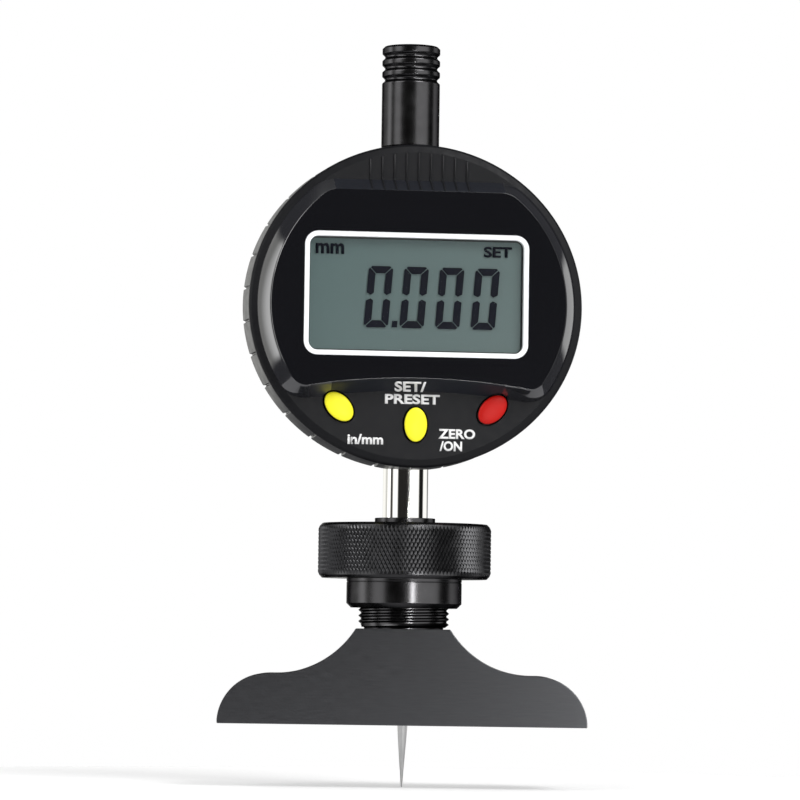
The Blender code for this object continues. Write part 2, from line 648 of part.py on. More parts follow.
def make_shell(head, face, finish):
    """The rear shell with its bosses and screw posts, the ribbed band and the gasket."""
    shoulder = SHELL_RADIUS + SHELL_SHOULDER
    band_rear = BAND_BACK - GAP
    rear = -SHELL_DEPTH_BACK
    profile = [
        (SHELL_BORE, SHELL_FRONT), (SHELL_RADIUS, SHELL_FRONT), (SHELL_RADIUS, band_rear),
        (shoulder, band_rear), (shoulder, band_rear - SHELL_SHOULDER), (SHELL_REAR_RADIUS, rear),
        (SHELL_BORE, rear)]
    shell = turned("rear_shell", profile, face, finish["black_plastic"], steps=CASE_STEPS)
    shell.scale = (1, HEAD_OVAL_SHARE, 1)
    wall_in = SHELL_BORE * HEAD_OVAL_SHARE
    wall_half = (SHELL_RADIUS - SHELL_BORE) * HEAD_OVAL_SHARE / 2
    boolean(shell, cylinder("stem_boss", STEM_BOSS_RADIUS, -wall_in - wall_half, BOSS_INSET - wall_in, head),
            'UNION')
    cap_boss = cylinder("cap_boss", CAP_BOSS_RADIUS, wall_in - GAP, CAP_BOSS_TOP, head, steps=TURN_STEPS)
    boolean(shell, cap_boss, 'UNION')
    for i, (x, z) in enumerate(post_places()):
        post = cylinder(f"screw_post_{i + 1}", SCREW_POST_RADIUS, rear, BOARD_BACK - GAP, face,
                        place=(x, z, 0))
        boolean(shell, post, 'UNION')
    stem_hole = cylinder("stem_hole", STEM_RADIUS + GAP, -COVER_RADIUS, BOSS_INSET + OVERRUN - wall_in,
                         head)
    boolean(shell, stem_hole)
    boolean(shell, cylinder("bush_hole", UPPER_BUSH_RADIUS + GAP, wall_in - OVERRUN, SPIGOT_TOP, head))
    for i, (x, z) in enumerate(post_places()):
        screw_hole = cylinder(f"screw_hole_{i + 1}", COVER_SCREW_RADIUS + GAP, rear - OVERRUN,
                              rear + COVER_SCREW_LENGTH, face, place=(x, z, 0))
        boolean(shell, screw_hole)
    for i, (x, z) in enumerate(board_screw_places()):
        bottom = BOARD_FRONT - BOARD_SCREW_LENGTH - GAP
        pilot = cylinder(f"board_pilot_{i + 1}", BOARD_SCREW_RADIUS + GAP, bottom, BOARD_FRONT, face,
                         place=(x, z, 0))
        boolean(shell, pilot)
    inner = oval(arc((0, 0), BAND_RADIUS - BAND_WALL, 0, math.tau, CASE_STEPS)[:-1])
    band = plate("ribbed_band", [band_outline(), inner], BAND_WIDTH, BAND_BACK, face,
                 finish["black_plastic"])
    boolean(band, cylinder("band_stem_hole", STEM_RADIUS + GAP, -BAND_RADIUS - OVERRUN, -wall_in, head))
    band_cap_hole = cylinder("band_cap_hole", CAP_BOSS_RADIUS + GAP, wall_in, BAND_RADIUS + OVERRUN, head,
                             steps=TURN_STEPS)
    boolean(band, band_cap_hole)
    middle = (SHELL_BORE + SHELL_RADIUS) / 2
    half = (SHELL_RADIUS - SHELL_BORE) / 4
    gasket = tube_profile(middle + half, middle - half, FACE_BACK - GAP, SHELL_FRONT + GAP)
    seal = turned("case_seal", gasket, face, finish["rubber"], steps=CASE_STEPS // 2)
    seal.scale = (1, HEAD_OVAL_SHARE, 1)


def post_places():
    """Where the four screw posts stand, in the face's frame."""
    x = SCREW_POST_REACH * math.cos(SCREW_POST_ANGLE)
    z = SCREW_POST_REACH * math.sin(SCREW_POST_ANGLE) * HEAD_OVAL_SHARE
    return [(side * x, level * z) for level in (1, -1) for side in (-1, 1)]


def board_screw_places():
    """The two upper posts also hold the circuit board."""
    return post_places()[:2]


def button_places():
    """Each button's name, place and tilt."""
    x = (COVER_RADIUS - SIDE_BUTTON_INSET) * math.cos(SIDE_BUTTON_ANGLE)
    z = (SIDE_BUTTON_INSET - COVER_RADIUS) * math.sin(SIDE_BUTTON_ANGLE)
    return [
        ("left", (-x, z), SIDE_BUTTON_TILT),
        ("middle", (0, MIDDLE_BUTTON_INSET - COVER_RADIUS), 0),
        ("right", (x, z), -SIDE_BUTTON_TILT)]


def button_outline(grow):
    """A button's outline, upright, grown outwards."""
    return ellipse(BUTTON_HALF_WIDTH + grow, BUTTON_HALF_LENGTH + grow, BUTTON_STEPS)


def ramp_grow(forward):
    """How far the ramp stands outside the window's outline at a depth."""
    return RAMP_WIDTH * (WINDOW_FRONT - forward) / RAMP_HEIGHT


def make_ribs(face):
    """Upright ribs between the window and the top of the rim, joined to the cover."""
    ribs = []
    edge = COVER_RADIUS - COVER_RIM
    for i in range(RIB_COUNT):
        x = (i - (RIB_COUNT - 1) / 2) * RIB_PITCH
        top = math.sqrt(edge ** 2 - x ** 2) * HEAD_OVAL_SHARE - GAP
        bottom = WINDOW_TOP + RAMP_WIDTH / 2
        size = (RIB_WIDTH, top - bottom, 2 * RIB_HEIGHT)
        ribs.append(block(f"rib_{i + 1}", size, (x, (top + bottom) / 2, RIM_FRONT), face))
    return ribs


def make_front_cover(face, finish):
    """The cover: a disc with a narrow rim, a raised ramp round the window, ribs and button holes."""
    inner = COVER_RADIUS - COVER_RIM
    skirt = inner - COVER_SKIRT
    side = COVER_BACK + COVER_SIDE
    profile = [
        (0, RIM_FRONT), (inner, RIM_FRONT), (COVER_RADIUS - COVER_RIM / 3, side + COVER_RIM_DROP / 2),
        (COVER_RADIUS, side), (COVER_RADIUS, COVER_BACK), (skirt, COVER_BACK), (skirt, FACE_BACK),
        (0, FACE_BACK)]
    cover = turned("front_cover", profile, face, finish["black_plastic"], closed=False, steps=CASE_STEPS)
    cover.scale = (1, HEAD_OVAL_SHARE, 1)
    root = RIM_FRONT - FACE_THICKNESS / 2
    plateau = loft("plateau", [
        (window_outline(ramp_grow(PLATEAU_FRONT)), PLATEAU_FRONT),
        (window_outline(RAMP_WIDTH), RIM_FRONT), (window_outline(RAMP_WIDTH), root)], face)
    boolean(cover, plateau, 'UNION')
    for rib in make_ribs(face):
        boolean(cover, rib, 'UNION')
    opening = (LCD_WIDTH + 2 * GAP, LCD_HEIGHT + 2 * GAP, WINDOW_FRONT - FACE_BACK + 2 * OVERRUN)
    centre = (DISPLAY_X, DISPLAY_Z, (WINDOW_FRONT + FACE_BACK) / 2)
    boolean(cover, block("display_opening", opening, centre, face))
    for name, (x, z), tilt in button_places():
        walls = [(button_outline(GAP), RIM_FRONT + OVERRUN), (button_outline(GAP), FACE_BACK - OVERRUN)]
        boolean(cover, loft(f"button_hole_{name}", walls, face, place=(x, z, 0), turn=(0, 0, tilt)))


def make_display(face, finish):
    """The window, its white frame and lens, the display glass, its holder and its two rubber contacts."""
    centre = (DISPLAY_X, DISPLAY_Z)
    window = loft("window_panel", [
        (window_outline(0), WINDOW_FRONT),
        (window_outline(ramp_grow(WINDOW_BACK)), WINDOW_BACK)], face, finish["gloss_black"])
    hole = round_rectangle(FRAME_WIDTH + 2 * GAP, FRAME_HEIGHT + 2 * GAP, FRAME_CORNER + GAP, centre)
    thickness = WINDOW_THICKNESS + 2 * OVERRUN
    boolean(window, plate("window_opening", [hole], thickness, WINDOW_BACK - OVERRUN, face))
    outer = round_rectangle(FRAME_WIDTH, FRAME_HEIGHT, FRAME_CORNER, centre)
    sight = (FRAME_WIDTH - 2 * FRAME_BAND, FRAME_HEIGHT - 2 * FRAME_BAND, FRAME_CORNER - FRAME_BAND)
    inner = round_rectangle(*sight, centre)
    plate("display_frame", [outer, inner], WINDOW_THICKNESS - FRAME_INSET, WINDOW_BACK, face,
          finish["frame_white"])
    lens = round_rectangle(sight[0] - 2 * GAP, sight[1] - 2 * GAP, sight[2] - GAP, centre)
    plate("display_lens", [lens], WINDOW_THICKNESS - LENS_INSET, WINDOW_BACK, face, finish["clear"])
    block("lcd_panel", (LCD_WIDTH, LCD_HEIGHT, LCD_THICKNESS), (*centre, (LCD_FRONT + LCD_BACK) / 2), face,
          finish["lcd_green"])
    depth = HOLDER_FRONT - HOLDER_BACK
    middle = (HOLDER_FRONT + HOLDER_BACK) / 2
    holder = block("lcd_holder", (LCD_WIDTH, LCD_HEIGHT, depth), (*centre, middle), face,
                   finish["white_plastic"])
    for name, side in (("upper", 1), ("lower", -1)):
        place = (DISPLAY_X, DISPLAY_Z + side * ZEBRA_PITCH / 2, middle)
        slot = (ZEBRA_LENGTH + 2 * GAP, ZEBRA_WIDTH + 2 * GAP, depth + 2 * OVERRUN)
        boolean(holder, block(f"zebra_slot_{name}", slot, place, face))
        block(f"zebra_strip_{name}", (ZEBRA_LENGTH, ZEBRA_WIDTH, depth), place, face, finish["rubber"])


def make_buttons(face, finish):
    """Three oval buttons with a flange behind the cover, each over its dome switch."""
    front = RIM_FRONT + BUTTON_PROUD
    shoulder = front - BUTTON_CROWN
    colours = {"left": "button_yellow", "middle": "button_yellow", "right": "button_red"}
    for name, (x, z), tilt in button_places():
        sections = [
            (button_outline(-BUTTON_HALF_WIDTH / 2), front),
            (button_outline(-BUTTON_HALF_WIDTH / 8), front - BUTTON_CROWN / 3),
            (button_outline(0), shoulder), (button_outline(0), BUTTON_FLANGE_FRONT),
            (button_outline(BUTTON_FLANGE_LIP), BUTTON_FLANGE_FRONT),
            (button_outline(BUTTON_FLANGE_LIP), BUTTON_FLANGE_FRONT - BUTTON_FLANGE)]
        loft(f"button_{name}", sections, face, finish[colours[name]], (x, z, 0), (0, 0, tilt))
        profile = [
            (0, DOME_TOP), (DOME_RADIUS / 2, DOME_TOP), (DOME_RADIUS, BOARD_FRONT + GAP),
            (0, BOARD_FRONT + GAP)]
        turned(f"dome_switch_{name}", profile, face, finish["steel"], (x, z, 0), closed=False,
               steps=INNER_STEPS)


def screw(name, radius, length, seat, facing, place, parent, finish):
    """A pan head screw whose head stands on a seat and faces forward (1) or back (-1)."""
    top = SCREW_HEAD_HEIGHT
    profile = [
        (0, top), (SCREW_HEAD_RADIUS * 2 / 3, top), (SCREW_HEAD_RADIUS, top / 2), (SCREW_HEAD_RADIUS, 0),
        (radius, 0), (radius, -length), (0, -length)]
    made = turned(name, profile, parent, finish, (*place, seat), closed=False, steps=INNER_STEPS)
    if facing < 0:
        made.rotation_euler = (math.pi, 0, 0)
    return made


def make_board(face, finish):
    """The circuit board on the upper screw posts."""
    outline = oval(ellipse(BOARD_RADIUS, BOARD_RADIUS, CASE_STEPS // 2))
    board = plate("circuit_board", [outline], BOARD_THICKNESS, BOARD_BACK, face, finish["board_green"])
    for i, (x, z) in enumerate(board_screw_places()):
        hole = cylinder(f"board_hole_{i + 1}", BOARD_SCREW_RADIUS + GAP, BOARD_BACK - OVERRUN,
                        BOARD_FRONT + OVERRUN, face, place=(x, z, 0))
        boolean(board, hole)
        screw(f"board_screw_{i + 1}", BOARD_SCREW_RADIUS, BOARD_SCREW_LENGTH, BOARD_FRONT + GAP, 1, (x, z),
              face, finish["steel"])


def make_back(face, finish):
    """The back cover with its four screws."""
    back = BACK_PLATE_FRONT - BACK_THICKNESS
    profile = [
        (0, BACK_PLATE_FRONT), (BACK_RADIUS, BACK_PLATE_FRONT), (BACK_RADIUS, back + BACK_EDGE),
        (BACK_RADIUS - BACK_EDGE, back), (0, back)]
    cover = turned("back_cover", profile, face, finish["black_plastic"], closed=False, steps=CASE_STEPS)
    cover.scale = (1, HEAD_OVAL_SHARE, 1)
    sink = back + COVER_SCREW_SINK
    for i, (x, z) in enumerate(post_places()):
        hole = cylinder(f"cover_hole_{i + 1}", COVER_SCREW_RADIUS + GAP, back - OVERRUN,
                        BACK_PLATE_FRONT + OVERRUN, face, place=(x, z, 0))
        boolean(cover, hole)
        seat = cylinder(f"cover_sink_{i + 1}", SCREW_HEAD_RADIUS + GAP, back - OVERRUN, sink, face,
                        place=(x, z, 0))
        boolean(cover, seat)
        screw(f"cover_screw_{i + 1}", COVER_SCREW_RADIUS, COVER_SCREW_LENGTH, sink - GAP, -1, (x, z), face,
              finish["steel"])
    hole = cylinder("battery_cap_hole", BATTERY_CAP_RADIUS + GAP, back - OVERRUN,
                    BACK_PLATE_FRONT + OVERRUN, face, place=(BATTERY_X, 0, 0), steps=TURN_STEPS)
    boolean(cover, hole)


def make_battery(face, finish):
    """The button cell in its cup, on a leaf contact, under a cap with a coin slot."""
    place = (BATTERY_X, 0, 0)
    bore = BATTERY_RADIUS + GAP
    cell_back = -SHELL_DEPTH_BACK + BATTERY_CAP_SPIGOT
    cell_front = cell_back + BATTERY_HEIGHT
    contact_top = cell_front + GAP + CONTACT_THICKNESS
    floor = contact_top + GAP
    outer = BATTERY_CUP_RADIUS
    profile = [
        (0, floor + HOLDER_FLOOR), (outer, floor + HOLDER_FLOOR), (outer, -SHELL_DEPTH_BACK),
        (bore, -SHELL_DEPTH_BACK), (bore, floor), (0, floor)]
    turned("battery_holder", profile, face, finish["white_plastic"], place, closed=False, steps=INNER_STEPS)
    cylinder("battery_contact", CONTACT_RADIUS, cell_front + GAP, contact_top, face, finish["brass"], place)
    cylinder("battery", BATTERY_RADIUS, cell_back, cell_front, face, finish["steel"], place)
    back = BACK_PLATE_FRONT - BACK_THICKNESS
    rim = BACK_PLATE_FRONT
    spigot = bore - GAP
    profile = [
        (0, cell_back - GAP), (spigot, cell_back - GAP), (spigot, rim), (BATTERY_CAP_RADIUS, rim),
        (BATTERY_CAP_RADIUS, back), (0, back)]
    cap = turned("battery_cap", profile, face, finish["black_plastic"], place, closed=False)
    slot = (COIN_SLOT_LENGTH, COIN_SLOT_WIDTH, 2 * COIN_SLOT_DEPTH)
    boolean(cap, block("coin_slot", slot, (BATTERY_X, 0, back), face))


def make_guide(head, finish):
    """The slotted rail on the back cover that keeps the spindle from turning."""
    pin_z = CARRIER_BOTTOM + CARRIER_HEIGHT / 2
    start = CARRIER_WIDTH / 2 + PIN_LENGTH - RAIL_SLOT_DEPTH + GAP
    back = SHELL_DEPTH_BACK
    size = (RAIL_WIDTH, back + RAIL_FRONT, RAIL_LENGTH)
    middle_z = pin_z + SPINDLE_TRAVEL / 2
    centre = (start + RAIL_WIDTH / 2, (back - RAIL_FRONT) / 2, middle_z)
    rail = block("guide_rail", size, centre, head, finish["white_plastic"])
    slot = (2 * RAIL_SLOT_DEPTH, 2 * (PIN_RADIUS + GAP), RAIL_LENGTH + 2 * OVERRUN)
    boolean(rail, block("rail_slot", slot, (start, 0, middle_z), head))


def make_spindle(head, finish):
    """The spindle with its stop collar, scale carrier, scale strip and guide pin."""
    bottom = STEM_BOTTOM - SPINDLE_BELOW_STEM
    top = SPIGOT_TOP - SPIGOT_HEIGHT + SPINDLE_ABOVE_CASE
    edge = SPINDLE_RADIUS - SPINDLE_CHAMFER
    profile = [
        (0, top), (edge, top), (SPINDLE_RADIUS, top - SPINDLE_CHAMFER),
        (SPINDLE_RADIUS, bottom + SPINDLE_CHAMFER), (edge, bottom), (0, bottom)]
    turned("spindle_rod", profile, head, finish["steel"], closed=False, steps=INNER_STEPS)
    stop_top = STOP_BOTTOM + COLLAR_STOP_HEIGHT
    stop = tube_profile(COLLAR_STOP_RADIUS, SPINDLE_BORE_RADIUS, stop_top, STOP_BOTTOM)
    turned("stop_collar", stop, head, finish["steel"], steps=INNER_STEPS)
    bumper = tube_profile(BUMPER_RADIUS, SPINDLE_BORE_RADIUS, BUMPER_BOTTOM + BUMPER_HEIGHT, BUMPER_BOTTOM)
    turned("stop_bumper", bumper, head, finish["rubber"], steps=INNER_STEPS)
    carrier_top = CARRIER_BOTTOM + CARRIER_HEIGHT
    size = (CARRIER_WIDTH, CARRIER_FRONT + CARRIER_BACK, CARRIER_HEIGHT)
    centre = (0, (CARRIER_BACK - CARRIER_FRONT) / 2, (CARRIER_BOTTOM + carrier_top) / 2)
    carrier = block("scale_carrier", size, centre, head, finish["white_plastic"])
    boolean(carrier, cylinder("carrier_bore", SPINDLE_BORE_RADIUS, CARRIER_BOTTOM - OVERRUN,
                              carrier_top + OVERRUN, head))
    scale_z = CARRIER_BOTTOM - SCALE_DROP + SCALE_LENGTH / 2
    block("scale_strip", (SCALE_WIDTH, SCALE_THICKNESS, SCALE_LENGTH),
          (0, SCALE_THICKNESS / 2 - SCALE_FRONT, scale_z), head, finish["board_green"])
    pin = cylinder("guide_pin", PIN_RADIUS, CARRIER_WIDTH / 2 + GAP, CARRIER_WIDTH / 2 + PIN_LENGTH, head,
                   finish["steel"], (0, 0, CARRIER_BOTTOM + CARRIER_HEIGHT / 2), (0, QUARTER, 0))
    return pin


def make_spring(head, finish):
    """The return spring round the spindle, between the carrier and the upper bush."""
    low = CARRIER_BOTTOM + CARRIER_HEIGHT + GAP + SPRING_WIRE
    high = UPPER_BUSH_BOTTOM - GAP - SPRING_WIRE
    count = SPRING_TURNS * SPRING_POINTS
    curve = bpy.data.curves.new("return_spring", 'CURVE')
    curve.dimensions = '3D'
    curve.bevel_depth = SPRING_WIRE
    curve.bevel_resolution = 0
    curve.use_fill_caps = True
    line = curve.splines.new('POLY')
    line.points.add(count)
    for i, point in enumerate(line.points):
        angle = math.tau * i / SPRING_POINTS
        height = low + (high - low) * i / count
        point.co = (SPRING_RADIUS * math.cos(angle), SPRING_RADIUS * math.sin(angle), height, 1)
    add_object("return_spring", curve, head, finish["steel"])


def make_needle(head, finish):
    """The needle point on the spindle's lower end."""
    top = STEM_BOTTOM - SPINDLE_BELOW_STEM - GAP
    body = top - NEEDLE_BODY_LENGTH
    shoulder = body - NEEDLE_SHOULDER_DROP
    tip = -NEEDLE_REACH - HEAD_Z
    profile = [
        (0, top), (NEEDLE_BODY_RADIUS, top), (NEEDLE_BODY_RADIUS, body), (NEEDLE_SHOULDER_RADIUS, shoulder),
        (NEEDLE_TIP_RADIUS, tip + NEEDLE_TIP_RADIUS), (0, tip)]
    turned("needle_point", profile, head, finish["chrome"], closed=False, steps=24)


def cap_ridge_profile(top):
    """The wavy grip near the top of the cap, from its first ridge down to the plain barrel."""
    points = []
    first = top - CAP_FIRST_RIDGE
    for i in range(CAP_RIDGES * CAP_RIDGE_POINTS + 1):
        wave = (1 - math.cos(math.tau * i / CAP_RIDGE_POINTS)) / 2
        points.append((CAP_RADIUS - CAP_GROOVE_DEPTH * wave, first - i * CAP_RIDGE_PITCH / CAP_RIDGE_POINTS))
    return points


def make_cap(head, finish):
    """The upper bush, whose spigot carries the dust cap and its rubber ring."""
    bush = tube_profile(UPPER_BUSH_RADIUS, SPINDLE_BORE_RADIUS, SPIGOT_TOP, UPPER_BUSH_BOTTOM)
    turned("upper_bush", bush, head, finish["brass"], steps=INNER_STEPS)
    ring_z = SPIGOT_TOP - SPIGOT_HEIGHT / 2
    ring = arc((CAP_RING_RADIUS, ring_z), CAP_RING_WIRE, 0, -math.tau, 6)[:-1]
    turned("cap_o_ring", ring, head, finish["rubber"], steps=INNER_STEPS)
    top = CAP_BOTTOM + CAP_LENGTH
    profile = [(0, top), (CAP_RADIUS - CAP_GROOVE_DEPTH, top), (CAP_RADIUS, top - CAP_TOP_EDGE)]
    profile += cap_ridge_profile(top)
    profile += [
        (CAP_RADIUS, CAP_BOTTOM), (CAP_BORE_RADIUS, CAP_BOTTOM), (CAP_BORE_RADIUS, top - CAP_TOP_WALL),
        (0, top - CAP_TOP_WALL)]
    turned("dust_cap", profile, head, finish["black_oxide"], closed=False)


def build_gauge():
    """Build every piece of the gauge."""
    clear_scene()
    finish = make_materials()
    axis = add_empty("gauge_axis", None, (0, BASE_THICKNESS / 2, 0))
    head = add_empty("head_pose", axis, (0, 0, HEAD_Z), (0, 0, HEAD_TWIST))
    face = add_empty("face_front", head, (0, 0, 0), (QUARTER, 0, 0))
    make_bridge(axis, finish)
    make_boss(axis, finish)
    make_clamp(axis, finish)
    make_stem(head, finish)
    make_shell(head, face, finish)
    make_front_cover(face, finish)
    make_display(face, finish)
    make_buttons(face, finish)
    make_board(face, finish)
    make_back(face, finish)
    make_battery(face, finish)
    make_guide(head, finish)
    make_spindle(head, finish)
    make_spring(head, finish)
    make_needle(head, finish)
    make_cap(head, finish)


build_gauge()
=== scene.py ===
"""The looks of the digital depth gauge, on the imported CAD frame. Metres, +Z up."""
import math

import bmesh
import bpy
from mathutils import Matrix, Vector


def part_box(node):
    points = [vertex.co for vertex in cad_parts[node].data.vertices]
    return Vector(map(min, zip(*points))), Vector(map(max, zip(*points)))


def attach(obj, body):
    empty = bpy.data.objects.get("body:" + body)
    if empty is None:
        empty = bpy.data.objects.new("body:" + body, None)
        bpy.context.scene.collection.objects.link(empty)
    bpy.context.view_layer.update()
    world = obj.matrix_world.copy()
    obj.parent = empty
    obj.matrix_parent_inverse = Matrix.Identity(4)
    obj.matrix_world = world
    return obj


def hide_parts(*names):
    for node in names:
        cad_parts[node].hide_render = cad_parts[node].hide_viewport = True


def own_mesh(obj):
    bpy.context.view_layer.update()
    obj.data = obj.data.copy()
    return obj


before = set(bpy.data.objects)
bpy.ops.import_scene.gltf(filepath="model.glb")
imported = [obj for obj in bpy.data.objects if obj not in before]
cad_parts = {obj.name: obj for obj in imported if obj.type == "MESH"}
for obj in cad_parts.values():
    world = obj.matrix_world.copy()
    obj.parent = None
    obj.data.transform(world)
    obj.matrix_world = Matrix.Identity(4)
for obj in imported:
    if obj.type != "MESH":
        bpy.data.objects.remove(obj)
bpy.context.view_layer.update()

# Sizes that the source of the part gives
GAP = 0.0003
OVERRUN = 0.0020
WELD = 0.0000005
QUARTER = math.radians(90)
BASE_THICKNESS = 0.0170
BASE_HEIGHT = 0.0169
BASE_HALF_LENGTH = 0.03245
BASE_TOP_HALF = 0.0083
BASE_WING_HEIGHT = 0.0089
BASE_WING_FLAT = 0.0009
BASE_END_LAND = 0.0008
BASE_FLOOR = 0.0045
NEEDLE_HOLE_RADIUS = 0.0030
STEM_RADIUS = 0.0040
STEM_BORE_RADIUS = 0.0033
COLLET_BORE_RADIUS = 0.0043
COLLET_HEAD_RADIUS = 0.00535
COLLET_FLANGE_RADIUS = 0.0069
COLLET_FLANGE = 0.0012
COLLET_SLIT = 0.0008
SLEEVE_RADIUS = 0.0054
BOSS_BORE_RADIUS = 0.0057
THREAD_RADIUS = 0.0080
THREAD_PITCH = 0.0010
THREAD_DEPTH = 0.0004
THREAD_LENGTH = 0.0060
NECK_RADIUS = 0.0074
SHANK_RADIUS = 0.0070
NUT_RADIUS = 0.0153
NUT_BORE_RADIUS = 0.0083
NUT_HEIGHT = 0.0097
NUT_CHAMFER = 0.0007
NUT_WEB = 0.0014
COLLAR_RADIUS = 0.0102
COLLAR_HEIGHT = 0.0052
COLLAR_CHAMFER = 0.0008
COLLAR_BOTTOM = 0.0206
HEAD_TWIST = math.radians(8.5)
HEAD_OVAL_SHARE = 0.963
COVER_RADIUS = 0.0292
BAND_RADIUS = 0.0297
BAND_WALL = 0.0017
BAND_BACK = 0.0020
BAND_FRONT = 0.0090
BAND_LANDS = 30
BAND_NOTCH_WIDTH = 0.0006
BAND_NOTCH_DEPTH = 0.0004
SHELL_RADIUS = 0.0277
SHELL_BORE = 0.0261
SHELL_FRONT = 0.0087
SHELL_SHOULDER = 0.0009
SHELL_REAR_RADIUS = 0.0268
SHELL_DEPTH_BACK = 0.0065
STEM_BOSS_RADIUS = 0.0055
CAP_BOSS_RADIUS = 0.0054
BOSS_INSET = 0.0040
SCREW_POST_RADIUS = 0.0026
SCREW_POST_REACH = 0.0240
SCREW_POST_ANGLE = math.radians(41.5)
COVER_RIM = 0.00117
COVER_RIM_DROP = 0.0008
COVER_SIDE = 0.0012
COVER_BACK = 0.0093
COVER_SKIRT = 0.0004
FACE_BACK = 0.0097
RIM_FRONT = 0.0113
RAMP_HEIGHT = 0.0034
RAMP_WIDTH = 0.0021
RIB_COUNT = 9
RIB_PITCH = 0.00214
WINDOW_RADIUS = 0.02605
WINDOW_TOP = 0.0199
WINDOW_BOTTOM = 0.0130
WINDOW_TOP_CORNER = 0.0045
WINDOW_BOTTOM_CORNER = 0.0028
WINDOW_BOTTOM_ARC = 0.1180
WINDOW_FRONT = 0.0147
WINDOW_BACK = 0.0133
FRAME_WIDTH = 0.0396
FRAME_HEIGHT = 0.0217
FRAME_BAND = 0.0009
FRAME_CORNER = 0.00245
FRAME_INSET = 0.0001
DISPLAY_X = -0.0005
DISPLAY_Z = 0.00165
LENS_INSET = 0.0004
LCD_LAP = 0.0004
LCD_FRONT = 0.0129
LCD_THICKNESS = 0.0016
BUTTON_HALF_WIDTH = 0.0020
BUTTON_HALF_LENGTH = 0.0030
BUTTON_PROUD = 0.0010
BUTTON_CROWN = 0.0005
BUTTON_FLANGE = 0.0007
BUTTON_FLANGE_LIP = 0.0005
SIDE_BUTTON_REACH = 0.02255
SIDE_BUTTON_ANGLE = math.radians(53)
MIDDLE_BUTTON_Z = -0.0209
SIDE_BUTTON_TILT = math.radians(45)
BACK_RADIUS = 0.0262
BACK_THICKNESS = 0.0016
BACK_EDGE = 0.0004
COVER_SCREW_RADIUS = 0.0008
COVER_SCREW_LENGTH = 0.0075
COVER_SCREW_SINK = 0.0007
SCREW_HEAD_RADIUS = 0.0014
SCREW_HEAD_HEIGHT = 0.0008
BATTERY_X = -0.0135
BATTERY_RADIUS = 0.0058
BATTERY_CAP_RADIUS = 0.0070
BATTERY_CAP_SPIGOT = 0.0006
COIN_SLOT_LENGTH = 0.0090
COIN_SLOT_WIDTH = 0.0013
COIN_SLOT_DEPTH = 0.0007
COIN_SLOT_CORNER = 0.00052
NEEDLE_BODY_RADIUS = 0.0022
NEEDLE_BODY_LENGTH = 0.0047
NEEDLE_SHOULDER_RADIUS = 0.0015
NEEDLE_SHOULDER_DROP = 0.0014
NEEDLE_TIP_RADIUS = 0.00012
CAP_RADIUS = 0.00515
CAP_BORE_RADIUS = 0.0042
CAP_TOP_WALL = 0.0012
CAP_TOP_CHAMFER = 0.0004
CAP_RIDGES = 3
CAP_RIDGE_PITCH = 0.00203
CAP_FIRST_RIDGE = 0.0009
CAP_GROOVE_DEPTH = 0.0005
SPRING_RADIUS = 0.0029
SPRING_WIRE = 0.00025
SPRING_TURNS = 11

# Details finer than the part's solids have
SPRING_POINTS = 24
SPRING_SIDES = 10
KNURL_ROUND = 132
KNURL_ROWS = 12
KNURL_DEPTH = 0.00022
KNURL_RIDGE_SHARE = 0.50
KNURL_CLEARANCE = 1.1
KNURL_CHAMFER_SHARE = 0.75
COLLAR_GROOVE_DROP = 0.00055
COLLAR_GROOVE_WIDTH = 0.00016
COLLAR_GROOVE_DEPTH = 0.00010
THREAD_FORM = [(0.0, 0.0), (0.10, 0.0), (0.44, 1.0), (0.56, 1.0), (0.90, 0.0)]
THREAD_WELD = 0.000002
SCREW_POST_FRONT = 0.0058
CAP_BUSH_RADIUS = 0.0033
BAND_TAPER = 0.0006
BAND_SECTIONS = [(0, 1, 0), (0.3, 0.8, 0.5), (1, 0.1, 1)]
BAND_NOTCH_FLOOR = 2 / 7
COVER_EDGE = 0.0295
RIB_LINE_WIDTH = 0.00034
RIB_LINE_HEIGHT = 0.00036
RIB_CREST_SHARE = 0.35
RIB_SECTION = [(-0.5, 0.8), (-RIB_CREST_SHARE, 0.3), (0, 0), (RIB_CREST_SHARE, 0.3), (0.5, 0.8)]
RIB_TOP = [(0, 0), (0.5, 0.75), (1, 1)]
RIB_FOOT = [(1.15, 1), (0.95, 1), (0.75, 1), (0.55, 1), (0.35, 1), (0.17, 1), (0.05, 0.3)]
RAMP_DULL_X = 0.0150
RAMP_GLOSS_X = 0.0185
RAMP_BULGE_SHARE = 0.05
RAMP_STEPS = 8
RAMP_FACING = (0.2, 0.8)
WINDOW_LIP = 0.00012
WINDOW_LIP_STEP = 0.3
FRAME_CLEARANCE = 0.00002
GLASS_CORNER = 0.0003
BUTTON_STEPS = 8
BUTTON_ROUND = 64
BUTTON_CROWN_REACH = 0.96
RECESS_LENGTH = 0.0017
RECESS_WIDTH = 0.00032
RECESS_HEIGHT = 0.0009
SCREW_TURN = 0.5
CAP_WAVE_STEPS = 14
CAP_WAVE_RISE = 1.5

# Angles from which an edge stays sharp, and from which it is broken
SHARP = 34
SHARP_THREAD = 22
SHARP_WINDOW = 40
SHARP_SPRING = 60
SHARP_RIBS = 80
BROKEN = 30
BROKEN_BAND = 25
BROKEN_COVER = 32

# Radii of the edges
EDGE_TINY = 0.0001
EDGE_FINE = 0.00012
EDGE_BAND = 0.00014
EDGE_SOFT = 0.0002
EDGE_BRIDGE = 0.00022
EDGE_ROUND = 0.0003
EDGE_COVER = 0.0004

